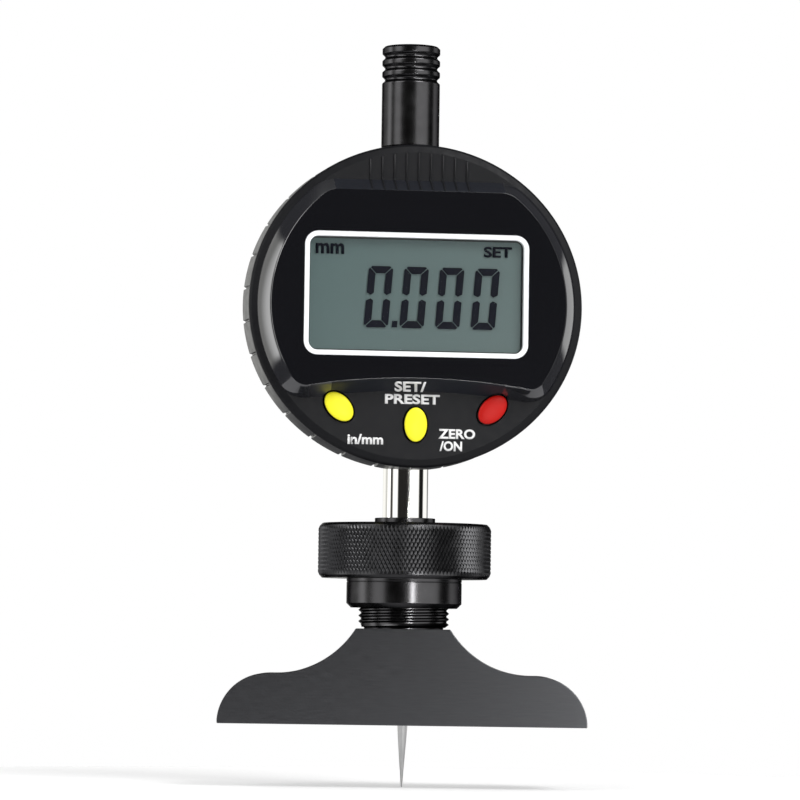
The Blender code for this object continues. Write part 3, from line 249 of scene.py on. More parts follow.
# Places read from the frame
NUT_BOTTOM = COLLAR_BOTTOM + COLLAR_HEIGHT
NUT_TOP = NUT_BOTTOM + NUT_HEIGHT
HEAD_Z = (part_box("ribbed_band")[0][2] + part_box("ribbed_band")[1][2]) / 2
FLOOR_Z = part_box("needle_point")[0][2]
AXIS = Matrix.Translation((0, BASE_THICKNESS / 2, 0))
HEAD = AXIS @ Matrix.Translation((0, 0, HEAD_Z)) @ Matrix.Rotation(HEAD_TWIST, 4, 'Z')
FACE = HEAD @ Matrix.Rotation(QUARTER, 4, 'X')
ACROSS, FORWARD = (FACE.to_3x3() @ Vector(way) for way in ((1, 0, 0), (0, 0, 1)))
OVAL = Matrix.Diagonal((1, HEAD_OVAL_SHARE, 1, 1))

# Facets, finer than those of the solids
FINE = 128
CASE = 240
SMALL = 48
TINY = 24
BRIDGE_STEPS = 36
LAND_STEPS = 10
WINDOW_CORNER_STEPS = 24
WINDOW_SIDE_STEPS = 60
PANE_STEPS = 12
LETTER_STEPS = 4
CORNER_STEPS = 3
SMOOTH_TURN = 0.2
CORNER_REACH = 0.45

# Materials: name, colour, roughness, grain in turns per metre, its depth, spread of the shade, metallic, more
OXIDE = {"Specular_Tint": (0.25, 0.25, 0.25, 1)}
DULL = {"Specular_IOR_Level": 0.22}
FINISHES = {
    "black_oxide": ("black_oxide_steel", (0.070, 0.069, 0.071), 0.24, 5200, 1e-6, 0.1, 1.0, OXIDE),
    "black_knurl": ("black_oxide_knurl", (0.062, 0.062, 0.064), 0.30, 5200, 1e-6, 0.15, 1.0, OXIDE),
    "chrome": ("chrome_polished", (0.80, 0.79, 0.76), 0.06, 1500, 2e-7, 0.02, 1.0),
    "needle": ("steel_needle", (0.70, 0.70, 0.68), 0.08, 3000, 5e-7, 0.1, 1.0),
    "steel": ("steel_bright", (0.52, 0.52, 0.51), 0.24, 3000, 8e-7, 0.08, 1.0),
    "brass": ("brass_turned", (0.60, 0.43, 0.18), 0.28, 2600, 1.2e-6, 0.1, 1.0),
    "face": ("plastic_face", (0.0050, 0.0052, 0.0066), 0.52, 9000, 5.5e-6, 0.14, 0.0, DULL),
    # The rib finish is lighter than the face the ribs belong to: a painted highlight on the ribs
    "rib": ("plastic_rib", (0.0105, 0.0108, 0.0125), 0.34, 9000, 3e-6, 0.14),
    "case": ("plastic_case", (0.0110, 0.0112, 0.0125), 0.42, 7600, 3.8e-6, 0.15, 0.0, DULL),
    "band": ("plastic_band", (0.0150, 0.0154, 0.0165), 0.36, 6400, 3e-6, 0.15),
    "window": ("window_gloss", (0.0062, 0.0064, 0.0080), 0.05, 240, 6e-7, 0.1),
    # ramp_dull is lighter and bluer than the face: a painted reflection of the grey glow on the slope round
    # the window
    "ramp_dull": ("ramp_dull", (0.0150, 0.0165, 0.0215), 0.50, 9000, 4e-6, 0.1, 0.0, DULL),
    "frame_white": ("frame_white_print", (0.95, 0.97, 0.98), 0.38, 5000, 8e-7, 0.02),
    "label_white": ("label_white_print", (0.83, 0.83, 0.83), 0.45, 9000, 6e-7, 0.04),
    "yellow": ("button_yellow", (0.96, 0.90, 0.030), 0.42, 3800, 1.6e-6, 0.03, 0.0, DULL),
    "red": ("button_red", (0.49, 0.0060, 0.0030), 0.42, 3800, 1.6e-6, 0.05, 0.0, DULL),
    # Black rubber for the seals and strips, and painted shade on the buttons' sides in the gap round them
    "rubber": ("rubber_black", (0.020, 0.020, 0.020), 0.72, 5200, 4e-6, 0.2),
    "board": ("board_green", (0.020, 0.130, 0.055), 0.42, 2400, 2e-6, 0.2),
    "white_plastic": ("plastic_white", (0.66, 0.65, 0.62), 0.48, 3600, 3e-6, 0.05),
    "digit": ("digit_dark", (0.0040, 0.0045, 0.0100), 0.5, 3000, 2e-7, 0.1, 0.0, {"Specular_IOR_Level": 0.1}),
    # A dark finish for a thin ring on the display glass: painted shadow of the white frame's inner wall
    "border": ("display_border", (0.006, 0.010, 0.010), 0.5, 3000, 4e-7, 0.1),
    "lens": ("lens_clear", (0.02, 0.03, 0.03), 0.06, 300, 3e-7, 0.1, 0.0, {"Alpha": 0.03})}
BROAD_GRAIN = 12
GLOSS_SPREAD = 0.15
STEEL_COLOUR = (0.138, 0.140, 0.146)
STEEL_LINES = (420, 6400, 6400)
STEEL_STREAKS = (260, 3600, 3600)


def node(tree, kind, *sources, **values):
    """A shader node. Values go to the inputs or settings they name, sources to the first inputs."""
    made = tree.nodes.new("ShaderNode" + kind)
    for key, value in [*values.items(), *enumerate(sources)]:
        if isinstance(key, str) and key not in made.inputs:
            setattr(made, key, value)
        elif isinstance(value, bpy.types.NodeSocket):
            tree.links.new(value, made.inputs[key])
        else:
            made.inputs[key].default_value = value
    return made


def calc(tree, operation, *sources):
    """The result of a sum on sockets and numbers."""
    return node(tree, "Math", *sources, operation=operation).outputs["Value"]


class Finish:
    """A procedural material on one Principled shader."""

    def __init__(self, name, colour, roughness, metallic=0.0, **more):
        self.material = bpy.data.materials.new(name)
        self.material.use_nodes = True
        self.tree = self.material.node_tree
        self.shader = self.tree.nodes["Principled BSDF"]
        values = {"Base Color": (*colour, 1), "Roughness": roughness, "Metallic": metallic, **more}
        for key, value in values.items():
            self.shader.inputs[key.replace("_", " ")].default_value = value
        self.place = node(self.tree, "TexCoord").outputs["Object"]
        self.relief = None

    def link(self, source, name):
        """Link a source to an input of the shader."""
        self.tree.links.new(source, self.shader.inputs[name])

    def noise(self, scale, detail=4.0, rough=0.55, where=None):
        """Noise at a scale in turns per metre."""
        values = {"Vector": where or self.place, "Scale": scale, "Detail": detail, "Roughness": rough}
        return node(self.tree, "TexNoise", **values).outputs["Fac"]

    def ranged(self, source, low, high, from_low, from_high):
        """The source, mapped to a range."""
        return node(self.tree, "MapRange", source, from_low, from_high, low, high).outputs["Result"]

    def tinted(self, source, dark, light, from_low=0.3, from_high=0.7):
        """Colour between two shades by the source."""
        share = self.ranged(source, 0, 1, from_low, from_high)
        mix = node(self.tree, "Mix", data_type='RGBA', Factor=share, A=(*dark, 1), B=(*light, 1))
        self.link(mix.outputs["Result"], "Base Color")
        return mix.outputs["Result"]

    def rough(self, source, low, high, from_low=0.3, from_high=0.7):
        """Roughness between two values by the source."""
        self.link(self.ranged(source, low, high, from_low, from_high), "Roughness")

    def bump(self, source, depth):
        """Relief of a depth in metres, on top of what is there."""
        made = node(self.tree, "Bump", Strength=1.0, Distance=depth, Height=source)
        if self.relief is not None:
            self.tree.links.new(self.relief, made.inputs["Normal"])
        self.relief = made.outputs["Normal"]
        self.link(self.relief, "Normal")


def shade(colour, share):
    """A colour made lighter or darker."""
    return tuple(min(1.0, part * share) for part in colour)


def plain(name, colour, roughness, grain, depth, spread, metallic=0.0, more=()):
    """A finish with fine grain, a slight change of shade and uneven gloss."""
    made = Finish(name, colour, roughness, metallic, **dict(more))
    broad = made.noise(grain / BROAD_GRAIN)
    made.tinted(broad, shade(colour, 1 - spread), shade(colour, 1 + spread))
    made.rough(broad, roughness * (1 - GLOSS_SPREAD), roughness * (1 + GLOSS_SPREAD))
    made.bump(made.noise(grain), depth)
    return made


def brushed_steel():
    """Dark ground steel, brushed along X."""
    made = Finish("steel_brushed", STEEL_COLOUR, 0.34, 1.0, Anisotropic=0.6, Anisotropic_Rotation=0.25,
                  Specular_Tint=(0.5, 0.5, 0.5, 1))
    fine, coarse = (node(made.tree, "Mapping", Vector=made.place, Scale=scale).outputs["Vector"]
                    for scale in (STEEL_LINES, STEEL_STREAKS))
    lines = made.noise(1, 6.0, 0.62, fine)
    made.tinted(made.noise(1, 5.0, 0.7, coarse), shade(STEEL_COLOUR, 0.93), shade(STEEL_COLOUR, 1.07))
    made.rough(lines, 0.29, 0.42)
    made.bump(lines, 0.0000020)
    made.bump(made.noise(300), 0.000003)
    return made


def ramp_gloss():
    """The gloss black edge of the window, polished at the sides and duller above and below."""
    made = Finish("ramp_gloss", (0.0150, 0.0155, 0.0185), 0.10, IOR=2.3)
    aside = calc(made.tree, 'ABSOLUTE', node(made.tree, "SeparateXYZ", made.place).outputs["X"])
    made.rough(aside, 0.44, 0.09, RAMP_DULL_X, RAMP_GLOSS_X)
    made.tinted(made.noise(300), (0.0095, 0.0100, 0.0125), (0.0120, 0.0125, 0.0150))
    made.bump(made.noise(260, 2.0), 0.0000012)
    return made


def lcd_glass():
    """Grey green display glass, with painted shade that darkens it towards its left."""
    made = Finish("display_glass", (0.145, 0.190, 0.178), 0.42)
    across = node(made.tree, "SeparateXYZ", made.place).outputs["X"]
    # Painted shade: the colour runs from darker at the left to lighter at the right of the glass
    made.tinted(across, (0.059, 0.105, 0.103), (0.078, 0.118, 0.115), -0.020, 0.020)
    made.bump(made.noise(5200, 2.0), 0.0000006)
    return made


LOOKS = {look: plain(*row) for look, row in FINISHES.items()}
LOOKS.update(steel_base=brushed_steel(), ramp=ramp_gloss(), lcd=lcd_glass())


def heights(name, origin=0.0):
    """The bottom and top of a node, from an origin."""
    return tuple(corner[2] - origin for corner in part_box(name))


def rounded(points, radius, closed=True):
    """An outline or profile with its corners rounded."""
    made = []
    count = len(points)
    for i, point in enumerate(points):
        here = Vector(point)
        if not closed and i in (0, count - 1):
            made.append(tuple(here))
            continue
        back = Vector(points[i - 1]) - here
        ahead = Vector(points[(i + 1) % count]) - here
        turn = math.pi - back.angle(ahead)
        if turn < SMOOTH_TURN:
            made.append(tuple(here))
            continue
        reach = min(radius * math.tan(turn / 2), CORNER_REACH * min(back.length, ahead.length))
        start = here + back.normalized() * reach
        end = here + ahead.normalized() * reach
        for k in range(CORNER_STEPS + 1):
            t = k / CORNER_STEPS
            made.append(tuple((1 - t) ** 2 * start + 2 * t * (1 - t) * here + t ** 2 * end))
    return made


def polar(radius, angle, height):
    """A place round the Z axis."""
    return (radius * math.cos(angle), radius * math.sin(angle), height)


def arc(centre, radius, start, end, steps):
    """Points on an arc, with both ends, angles in radians."""
    angles = [start + (end - start) * i / steps for i in range(steps + 1)]
    return [(centre[0] + radius * math.cos(a), centre[1] + radius * math.sin(a)) for a in angles]


def ellipse(half_width, half_height, steps):
    """Points round an ellipse."""
    angles = [math.tau * i / steps for i in range(steps)]
    return [(half_width * math.cos(a), half_height * math.sin(a)) for a in angles]


def round_rectangle(width, height, corner, centre, steps=PANE_STEPS):
    """Points round a rectangle with round corners."""
    points = []
    for quadrant, (side_x, side_y) in enumerate(((1, 1), (-1, 1), (-1, -1), (1, -1))):
        middle = (centre[0] + side_x * (width / 2 - corner), centre[1] + side_y * (height / 2 - corner))
        points += arc(middle, corner, quadrant * QUARTER, (quadrant + 1) * QUARTER, steps)
    return points


def oval(points):
    """Squeeze a round outline to the case's oval."""
    return [(x, y * HEAD_OVAL_SHARE) for x, y in points]


def put(name, data):
    """An object in the scene."""
    thing = bpy.data.objects.new(name, data)
    bpy.context.scene.collection.objects.link(thing)
    return thing


def settled(thing):
    """A new mesh of an object as it stands, modifiers and all."""
    bpy.context.view_layer.update()
    return bpy.data.meshes.new_from_object(thing.evaluated_get(bpy.context.evaluated_depsgraph_get()))


def new_object(name, shape, pose=Matrix()):
    """An object from a bmesh, with its pose in its mesh."""
    bmesh.ops.remove_doubles(shape, verts=shape.verts, dist=WELD)
    bmesh.ops.recalc_face_normals(shape, faces=shape.faces)
    shape.transform(pose)
    mesh = bpy.data.meshes.new(name)
    shape.to_mesh(mesh)
    shape.free()
    return put(name, mesh)


def lathe(name, profile, pose, steps=FINE, closed=True, edge=0.0):
    """Turn a profile of (radius, height) points about Z, its corners rounded to an edge."""
    if edge:
        profile = rounded(profile, edge, closed)
    shape = bmesh.new()
    rings = []
    for radius, height in profile:
        angles = [math.tau * i / steps for i in range(steps if radius > WELD else 1)]
        rings.append([shape.verts.new(polar(radius, angle, height)) for angle in angles])
    for upper, lower in list(zip(rings, rings[1:])) + ([(rings[-1], rings[0])] if closed else []):
        for i in range(steps if len(upper) + len(lower) > 2 else 0):
            j = (i + 1) % steps
            corners = [ring[k % len(ring)] for ring, k in ((upper, i), (upper, j), (lower, j), (lower, i))]
            shape.faces.new(list(dict.fromkeys(corners)))
    return new_object(name, shape, pose)


def skin(shape, rings):
    """Faces between rings with the same number of points, and one over each end."""
    for ring, following in zip(rings, rings[1:]):
        for i in range(len(ring)):
            j = (i + 1) % len(ring)
            shape.faces.new((ring[i], ring[j], following[j], following[i]))
    shape.faces.new(rings[0])
    shape.faces.new(rings[-1])


def loft(name, sections, pose):
    """A closed skin through (outline, height) sections that have the same number of points."""
    shape = bmesh.new()
    skin(shape, [[shape.verts.new((x, y, height)) for x, y in outline] for outline, height in sections])
    return new_object(name, shape, pose)


def prism(outline, low, high, pose):
    """A straight piece of an outline, only used to cut or to join."""
    return loft("prism", [(outline, low), (outline, high)], pose)


def block(size, centre, pose):
    """A plain box, only used to cut."""
    shape = bmesh.new()
    bmesh.ops.create_cube(shape, size=1.0, matrix=Matrix.Translation(centre) @ Matrix.Diagonal((*size, 1.0)))
    return new_object("block", shape, pose)


def rod(radius, low, high, pose, place=(0, 0), steps=SMALL):
    """A plain cylinder along Z, only used to cut or to join."""
    return prism([(place[0] + x, place[1] + y) for x, y in ellipse(radius, radius, steps)], low, high, pose)


def plate(name, outline, low, high, pose, holes=()):
    """A flat piece with holes."""
    thing = loft(name, [(outline, low), (outline, high)], pose)
    for hole in holes:
        cut(thing, prism(hole, low - OVERRUN, high + OVERRUN, pose))
    return thing


def cut(target, tool, operation='DIFFERENCE'):
    """Cut the target with the tool or join the tool to it, at once."""
    step = target.modifiers.new("cut", 'BOOLEAN')
    step.operation = operation
    step.solver = 'EXACT'
    step.object = tool
    apply(target)
    bpy.data.objects.remove(tool, do_unlink=True)


def apply(thing):
    """Apply the object's modifiers."""
    mesh = settled(thing)
    thing.modifiers.clear()
    thing.data = mesh


def soften(thing, width, angle=BROKEN):
    """Round the sharp edges."""
    bevel = thing.modifiers.new("soften", 'BEVEL')
    bevel.width = width
    bevel.segments = 2
    bevel.limit_method = 'ANGLE'
    bevel.angle_limit = math.radians(angle)
    apply(thing)


def wear(thing, look, body, nodes, flat=False, angle=SHARP):
    """Give a piece its finish, its shading, the body it rides on and the nodes it stands for."""
    thing.data.materials.clear()
    thing.data.materials.append(LOOKS[look].material)
    if not flat:
        thing.data.shade_smooth()
        thing.data.set_sharp_from_angle(angle=math.radians(angle))
        weighted = thing.modifiers.new("normals", 'WEIGHTED_NORMAL')
        weighted.keep_sharp = True
    thing.data.name = thing.name
    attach(thing, body)
    if nodes:
        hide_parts(*nodes)


def bridge_outline():
    """The bridge from the front: flat top, hollow waists and round ended wings."""
    end_x = BASE_HALF_LENGTH - math.sqrt(BASE_WING_HEIGHT ** 2 - BASE_END_LAND ** 2)
    waist_x = end_x - BASE_WING_FLAT
    run = waist_x - BASE_TOP_HALF
    rise = BASE_HEIGHT - BASE_WING_HEIGHT
    waist_radius = (run ** 2 + rise ** 2) / (2 * rise)
    start = math.pi + math.asin((waist_radius - rise) / waist_radius)
    half = [(0, BASE_HEIGHT)]
    half += arc((waist_x, BASE_WING_HEIGHT + waist_radius), waist_radius, start, 3 * QUARTER, BRIDGE_STEPS)
    end = math.asin(BASE_END_LAND / BASE_WING_HEIGHT)
    half += arc((end_x, 0), BASE_WING_HEIGHT, QUARTER, end, BRIDGE_STEPS)
    half.append((BASE_HALF_LENGTH, 0))
    return half + [(-x, z) for x, z in reversed(half[1:])]


def make_bridge():
    """The brushed steel bridge with broken edges."""
    upright = AXIS @ Matrix.Rotation(QUARTER, 4, 'X')
    base = plate("bridge", bridge_outline(), -BASE_THICKNESS / 2, BASE_THICKNESS / 2, upright)
    cut(base, rod(NEEDLE_HOLE_RADIUS, -OVERRUN, BASE_HEIGHT, AXIS, steps=FINE // 2))
    cut(base, rod(SHANK_RADIUS + GAP, BASE_FLOOR, BASE_HEIGHT + OVERRUN, AXIS, steps=FINE // 2))
    soften(base, EDGE_BRIDGE)
    wear(base, "steel_base", "base", ["base_plate"])


def make_boss():
    """The boss with a real single start thread."""
    low, high = BASE_HEIGHT + GAP, BASE_HEIGHT + GAP + THREAD_LENGTH
    root = THREAD_RADIUS - THREAD_DEPTH
    turns = round((high - low) / THREAD_PITCH) + 2
    shape = bmesh.new()
    rows = []
    for k in range(turns):
        for share, rise in THREAD_FORM:
            row = []
            for i in range(FINE + 1):
                height = low + (k + share + i / FINE - 1) * THREAD_PITCH
                held = min(max(height, low), high)
                fade = min(1.0, 2 * (held - low) / THREAD_PITCH, 2 * (high - held) / THREAD_PITCH)
                radius = NECK_RADIUS + (root + rise * THREAD_DEPTH - NECK_RADIUS) * fade
                row.append(shape.verts.new(polar(radius, math.tau * i / FINE, held)))
            rows.append(row)
    for lower, upper in zip(rows, rows[1:]):
        for i in range(FINE):
            shape.faces.new((lower[i], lower[i + 1], upper[i + 1], upper[i]))
    bmesh.ops.remove_doubles(shape, verts=shape.verts, dist=THREAD_WELD)
    bmesh.ops.dissolve_degenerate(shape, dist=THREAD_WELD, edges=shape.edges)
    thread = new_object("boss_thread", shape, AXIS)
    wear(thread, "black_oxide", "base", [], angle=SHARP_THREAD)
    top = heights("threaded_boss")[1]
    profile = [
        (BOSS_BORE_RADIUS, top), (NECK_RADIUS, top), (NECK_RADIUS, high), (NECK_RADIUS, low),
        (SHANK_RADIUS, low), (SHANK_RADIUS, BASE_FLOOR + GAP), (BOSS_BORE_RADIUS, BASE_FLOOR + GAP)]
    boss = lathe("boss", profile, AXIS, edge=EDGE_SOFT)
    wear(boss, "black_oxide", "base", ["threaded_boss"])


def make_knurl(low, high, radius):
    """A skin of knurled diamonds between two heights, each a small roof with its ridge to the upper right."""
    step = (high - low) / KNURL_ROWS
    turn = math.tau / KNURL_ROUND
    shape = bmesh.new()
    root = radius - KNURL_DEPTH
    grid = [[shape.verts.new(polar(root, turn * (i + 0.5 * (row % 2)), low + row * step))
             for i in range(KNURL_ROUND)] for row in range(KNURL_ROWS + 1)]
    for row in range(KNURL_ROWS + 1):
        odd = row % 2
        height = low + row * step
        for i in range(KNURL_ROUND):
            left, right = grid[row][i], grid[row][(i + 1) % KNURL_ROUND]
            over = (i + odd) % KNURL_ROUND
            if row == 0:
                shape.faces.new((left, right, grid[row + 1][over]))
                continue
            if row == KNURL_ROWS:
                shape.faces.new((right, left, grid[row - 1][over]))
                continue
            below, above = grid[row - 1][over], grid[row + 1][over]
            middle = turn * (i + 0.5 + 0.5 * odd)
            start, end = (shape.verts.new(polar(radius, middle + turn / 2 * reach, height + step * reach))
                          for reach in (-KNURL_RIDGE_SHARE / 2, KNURL_RIDGE_SHARE / 2))
            for corners in ((left, below, start), (below, right, end, start), (right, above, end),
                            (above, left, start, end)):
                shape.faces.new(corners)
    return shape


def make_clamp():
    """The knurled nut with its collar, and the split collet in it."""
    hole = COLLET_HEAD_RADIUS + GAP
    web = NUT_TOP - NUT_WEB
    inner = NUT_RADIUS - KNURL_DEPTH * KNURL_CLEARANCE
    groove = NUT_BOTTOM - COLLAR_GROOVE_DROP
    floor = COLLAR_RADIUS - COLLAR_GROOVE_DEPTH
    profile = [
        (hole, NUT_TOP), (NUT_RADIUS - NUT_CHAMFER, NUT_TOP), (inner, NUT_TOP - NUT_CHAMFER + KNURL_DEPTH),
        (inner, NUT_BOTTOM + NUT_CHAMFER - KNURL_DEPTH), (NUT_RADIUS - NUT_CHAMFER, NUT_BOTTOM),
        (COLLAR_RADIUS, NUT_BOTTOM), (COLLAR_RADIUS, groove), (floor, groove),
        (floor, groove - COLLAR_GROOVE_WIDTH), (COLLAR_RADIUS, groove - COLLAR_GROOVE_WIDTH),
        (COLLAR_RADIUS, COLLAR_BOTTOM + COLLAR_CHAMFER),
        (COLLAR_RADIUS - COLLAR_CHAMFER, COLLAR_BOTTOM), (NUT_BORE_RADIUS, COLLAR_BOTTOM),
        (NUT_BORE_RADIUS, web), (hole, web)]
    nut = lathe("nut", profile, AXIS, steps=CASE, edge=EDGE_TINY)
    wear(nut, "black_oxide", "nut", ["clamp_nut"])
    inset = NUT_CHAMFER * KNURL_CHAMFER_SHARE
    knurl = new_object("nut_knurl", make_knurl(NUT_BOTTOM + inset, NUT_TOP - inset, NUT_RADIUS), AXIS)
    wear(knurl, "black_knurl", "nut", [], flat=True)
    low, top = heights("split_collet")
    flange = heights("threaded_boss")[1] + GAP
    profile = [
        (COLLET_BORE_RADIUS, top), (COLLET_HEAD_RADIUS, top), (COLLET_HEAD_RADIUS, flange + COLLET_FLANGE),
        (COLLET_FLANGE_RADIUS, flange + COLLET_FLANGE), (COLLET_FLANGE_RADIUS, flange),
        (SLEEVE_RADIUS, flange), (SLEEVE_RADIUS, low), (COLLET_BORE_RADIUS, low)]
    collet = lathe("collet", profile, AXIS, edge=EDGE_FINE)
    reach = COLLET_FLANGE_RADIUS + OVERRUN
    slit = (COLLET_SLIT, reach, top - low + 2 * OVERRUN)
    cut(collet, block(slit, (0, reach / 2, (top + low) / 2), AXIS))
    wear(collet, "black_oxide", "collet", ["split_collet"])


def make_stem():
    """The bright stem and the needle."""
    low, top = heights("stem", HEAD_Z)
    profile = [(STEM_BORE_RADIUS, top), (STEM_RADIUS, top), (STEM_RADIUS, low), (STEM_BORE_RADIUS, low)]
    wear(lathe("stem_tube", profile, HEAD, edge=EDGE_ROUND), "chrome", "head", ["stem"])
    tip, top = heights("needle_point", HEAD_Z)
    body = top - NEEDLE_BODY_LENGTH
    profile = [
        (0, top), (NEEDLE_BODY_RADIUS, top), (NEEDLE_BODY_RADIUS, body),
        (NEEDLE_SHOULDER_RADIUS, body - NEEDLE_SHOULDER_DROP), (NEEDLE_TIP_RADIUS, tip + NEEDLE_TIP_RADIUS),
        (0, tip)]
    needle = lathe("needle", profile, HEAD, steps=SMALL, closed=False, edge=EDGE_TINY)
    wear(needle, "needle", "spindle", ["needle_point"])


def post_places():
    """Where the four screws of the back cover stand, in the face's frame."""
    x = SCREW_POST_REACH * math.cos(SCREW_POST_ANGLE)
    z = SCREW_POST_REACH * math.sin(SCREW_POST_ANGLE) * HEAD_OVAL_SHARE
    return [(side * x, level * z) for level in (1, -1) for side in (-1, 1)]


def make_shell():
    """The rear shell with its bosses and posts."""
    shoulder = SHELL_RADIUS + SHELL_SHOULDER
    band_rear = BAND_BACK - GAP
    rear = -SHELL_DEPTH_BACK
    profile = [
        (SHELL_BORE, SHELL_FRONT), (SHELL_RADIUS, SHELL_FRONT), (SHELL_RADIUS, band_rear),
        (shoulder, band_rear), (shoulder, band_rear - SHELL_SHOULDER), (SHELL_REAR_RADIUS, rear),
        (SHELL_BORE, rear)]
    shell = lathe("shell", profile, FACE @ OVAL, steps=CASE, edge=EDGE_ROUND)
    wall_in = SHELL_BORE * HEAD_OVAL_SHARE
    wall_half = (SHELL_RADIUS - SHELL_BORE) * HEAD_OVAL_SHARE / 2
    cut(shell, rod(STEM_BOSS_RADIUS, -wall_in - wall_half, BOSS_INSET - wall_in, HEAD), 'UNION')
    cap_top = BAND_RADIUS * HEAD_OVAL_SHARE
    cut(shell, rod(CAP_BOSS_RADIUS, wall_in - GAP, cap_top, HEAD, steps=FINE), 'UNION')
    for place in post_places():
        cut(shell, rod(SCREW_POST_RADIUS, rear, SCREW_POST_FRONT, FACE, place), 'UNION')
    cut(shell, rod(STEM_RADIUS + GAP, -COVER_RADIUS, BOSS_INSET + OVERRUN - wall_in, HEAD, steps=FINE))
    cut(shell, rod(CAP_BUSH_RADIUS, wall_in - OVERRUN, cap_top + OVERRUN, HEAD))
    for place in post_places():
        low, high = rear - OVERRUN, rear + COVER_SCREW_LENGTH
        cut(shell, rod(COVER_SCREW_RADIUS + GAP, low, high, FACE, place, TINY))
    wear(shell, "case", "head", ["rear_shell"])


def band_outline(radius, depth):
    """The band's outline with notches of a depth."""
    points = []
    land = math.tau / BAND_LANDS
    notch = BAND_NOTCH_WIDTH / BAND_RADIUS
    floor = notch * BAND_NOTCH_FLOOR / 2
    for i in range(BAND_LANDS):
        middle = (i + 0.5) * land
        points += arc((0, 0), radius, middle - land + notch / 2, middle - notch / 2, LAND_STEPS)
        points += arc((0, 0), radius - depth, middle - floor, middle + floor, 1)
    return oval(points)


def make_band():
    """The grip band, a little narrower in front, with thin notches that run out there."""
    sections = [(band_outline(BAND_RADIUS - BAND_TAPER * narrow, BAND_NOTCH_DEPTH * deep),
                 BAND_BACK + (BAND_FRONT - BAND_BACK) * way) for narrow, deep, way in BAND_SECTIONS]
    band = loft("band", sections, FACE)
    inner = oval(arc((0, 0), BAND_RADIUS - BAND_WALL, 0, math.tau, CASE)[:-1])
    cut(band, prism(inner, BAND_BACK - OVERRUN, BAND_FRONT + OVERRUN, FACE))
    wall_in = SHELL_BORE * HEAD_OVAL_SHARE
    cut(band, rod(STEM_RADIUS + GAP, -BAND_RADIUS - OVERRUN, -wall_in, HEAD, steps=FINE))
    cut(band, rod(CAP_BOSS_RADIUS + GAP, wall_in, BAND_RADIUS + OVERRUN, HEAD, steps=FINE))
    soften(band, EDGE_BAND, BROKEN_BAND)
    wear(band, "band", "head", ["ribbed_band"])


def window_outline(grow):
    """The window's outline, grown outwards: round sides, a flat top and a slightly arched bottom."""
    radius = WINDOW_RADIUS + grow
    top = WINDOW_TOP / HEAD_OVAL_SHARE + grow
    bottom = WINDOW_BOTTOM / HEAD_OVAL_SHARE + grow
    upper = WINDOW_TOP_CORNER + grow
    lower = WINDOW_BOTTOM_CORNER + grow
    arch = WINDOW_BOTTOM_ARC - grow
    upper_z = top - upper
    upper_x = math.sqrt((radius - upper) ** 2 - upper_z ** 2)
    drop = bottom + arch
    lower_z = ((arch + lower) ** 2 - (radius - lower) ** 2 - drop ** 2) / (2 * drop)
    lower_x = math.sqrt((radius - lower) ** 2 - lower_z ** 2)
    side_up = math.atan2(upper_z, upper_x)
    side_down = math.atan2(lower_z, lower_x)
    meet = math.atan2(lower_x, lower_z + drop)
    half = [(0, top)]
    half += arc((upper_x, upper_z), upper, QUARTER, side_up, WINDOW_CORNER_STEPS)
    half += arc((0, 0), radius, side_up, side_down, WINDOW_SIDE_STEPS)[1:]
    half += arc((lower_x, lower_z), lower, side_down, -QUARTER - meet, WINDOW_CORNER_STEPS)[1:]
    half += arc((0, -drop), arch, QUARTER - meet, QUARTER, WINDOW_CORNER_STEPS)[1:]
    return oval(half + [(-x, z) for x, z in reversed(half[1:-1])])


def button_places():
    """Each button's name, place and tilt."""
    x = SIDE_BUTTON_REACH * math.cos(SIDE_BUTTON_ANGLE)
    z = -SIDE_BUTTON_REACH * math.sin(SIDE_BUTTON_ANGLE)
    return [("left", (-x, z), SIDE_BUTTON_TILT), ("middle", (0, MIDDLE_BUTTON_Z), 0),
            ("right", (x, z), -SIDE_BUTTON_TILT)]


def button_pose(place, tilt):
    """A button's pose."""
    return FACE @ Matrix.Translation((*place, 0)) @ Matrix.Rotation(tilt, 4, 'Z')


def button_outline(grow):
    """A button's outline, upright, grown outwards."""
    return ellipse(BUTTON_HALF_WIDTH + grow, BUTTON_HALF_LENGTH + grow, BUTTON_ROUND)


def make_cover():
    """The front cover with its narrow rim, display opening and button holes."""
    inner = COVER_RADIUS - COVER_RIM
    skirt = inner - COVER_SKIRT
    side = COVER_BACK + COVER_SIDE
    profile = [
        (0, RIM_FRONT), (inner, RIM_FRONT), (COVER_EDGE - COVER_RIM / 3, side + COVER_RIM_DROP / 2),
        (COVER_EDGE, side), (COVER_EDGE, COVER_BACK), (skirt, COVER_BACK), (skirt, FACE_BACK),
        (0, FACE_BACK)]
    cover = lathe("cover", profile, FACE @ OVAL, steps=CASE, closed=False, edge=EDGE_COVER)
    cut(cover, display_block(FACE_BACK - OVERRUN, RIM_FRONT + OVERRUN))
    cut_button_holes(cover)
    soften(cover, EDGE_TINY, BROKEN_COVER)
    wear(cover, "face", "head", ["front_cover"])


def display_block(low, high):
    """A block as wide as the display's place, only used to cut."""
    width = FRAME_WIDTH + 2 * LCD_LAP + 2 * GAP
    height = FRAME_HEIGHT + 2 * LCD_LAP + 2 * GAP
    return block((width, height, high - low), (DISPLAY_X, DISPLAY_Z, (low + high) / 2), FACE)


def cut_button_holes(thing):
    """Cut the three button holes through a piece of the face."""
    low, high = WINDOW_FRONT + OVERRUN, FACE_BACK - OVERRUN
    for _, place, tilt in button_places():
        cut(thing, prism(button_outline(GAP), low, high, button_pose(place, tilt)))


def ramp_height(x, z):
    """How high the ramp above or below the window stands over the face at a place."""
    edge = WINDOW_TOP if z > 0 else WINDOW_BOTTOM + x ** 2 / (2 * WINDOW_BOTTOM_ARC)
    outside = (abs(z) - edge) / HEAD_OVAL_SHARE
    return (WINDOW_FRONT - RIM_FRONT) * min(max(1 - outside / RAMP_WIDTH, 0), 1)


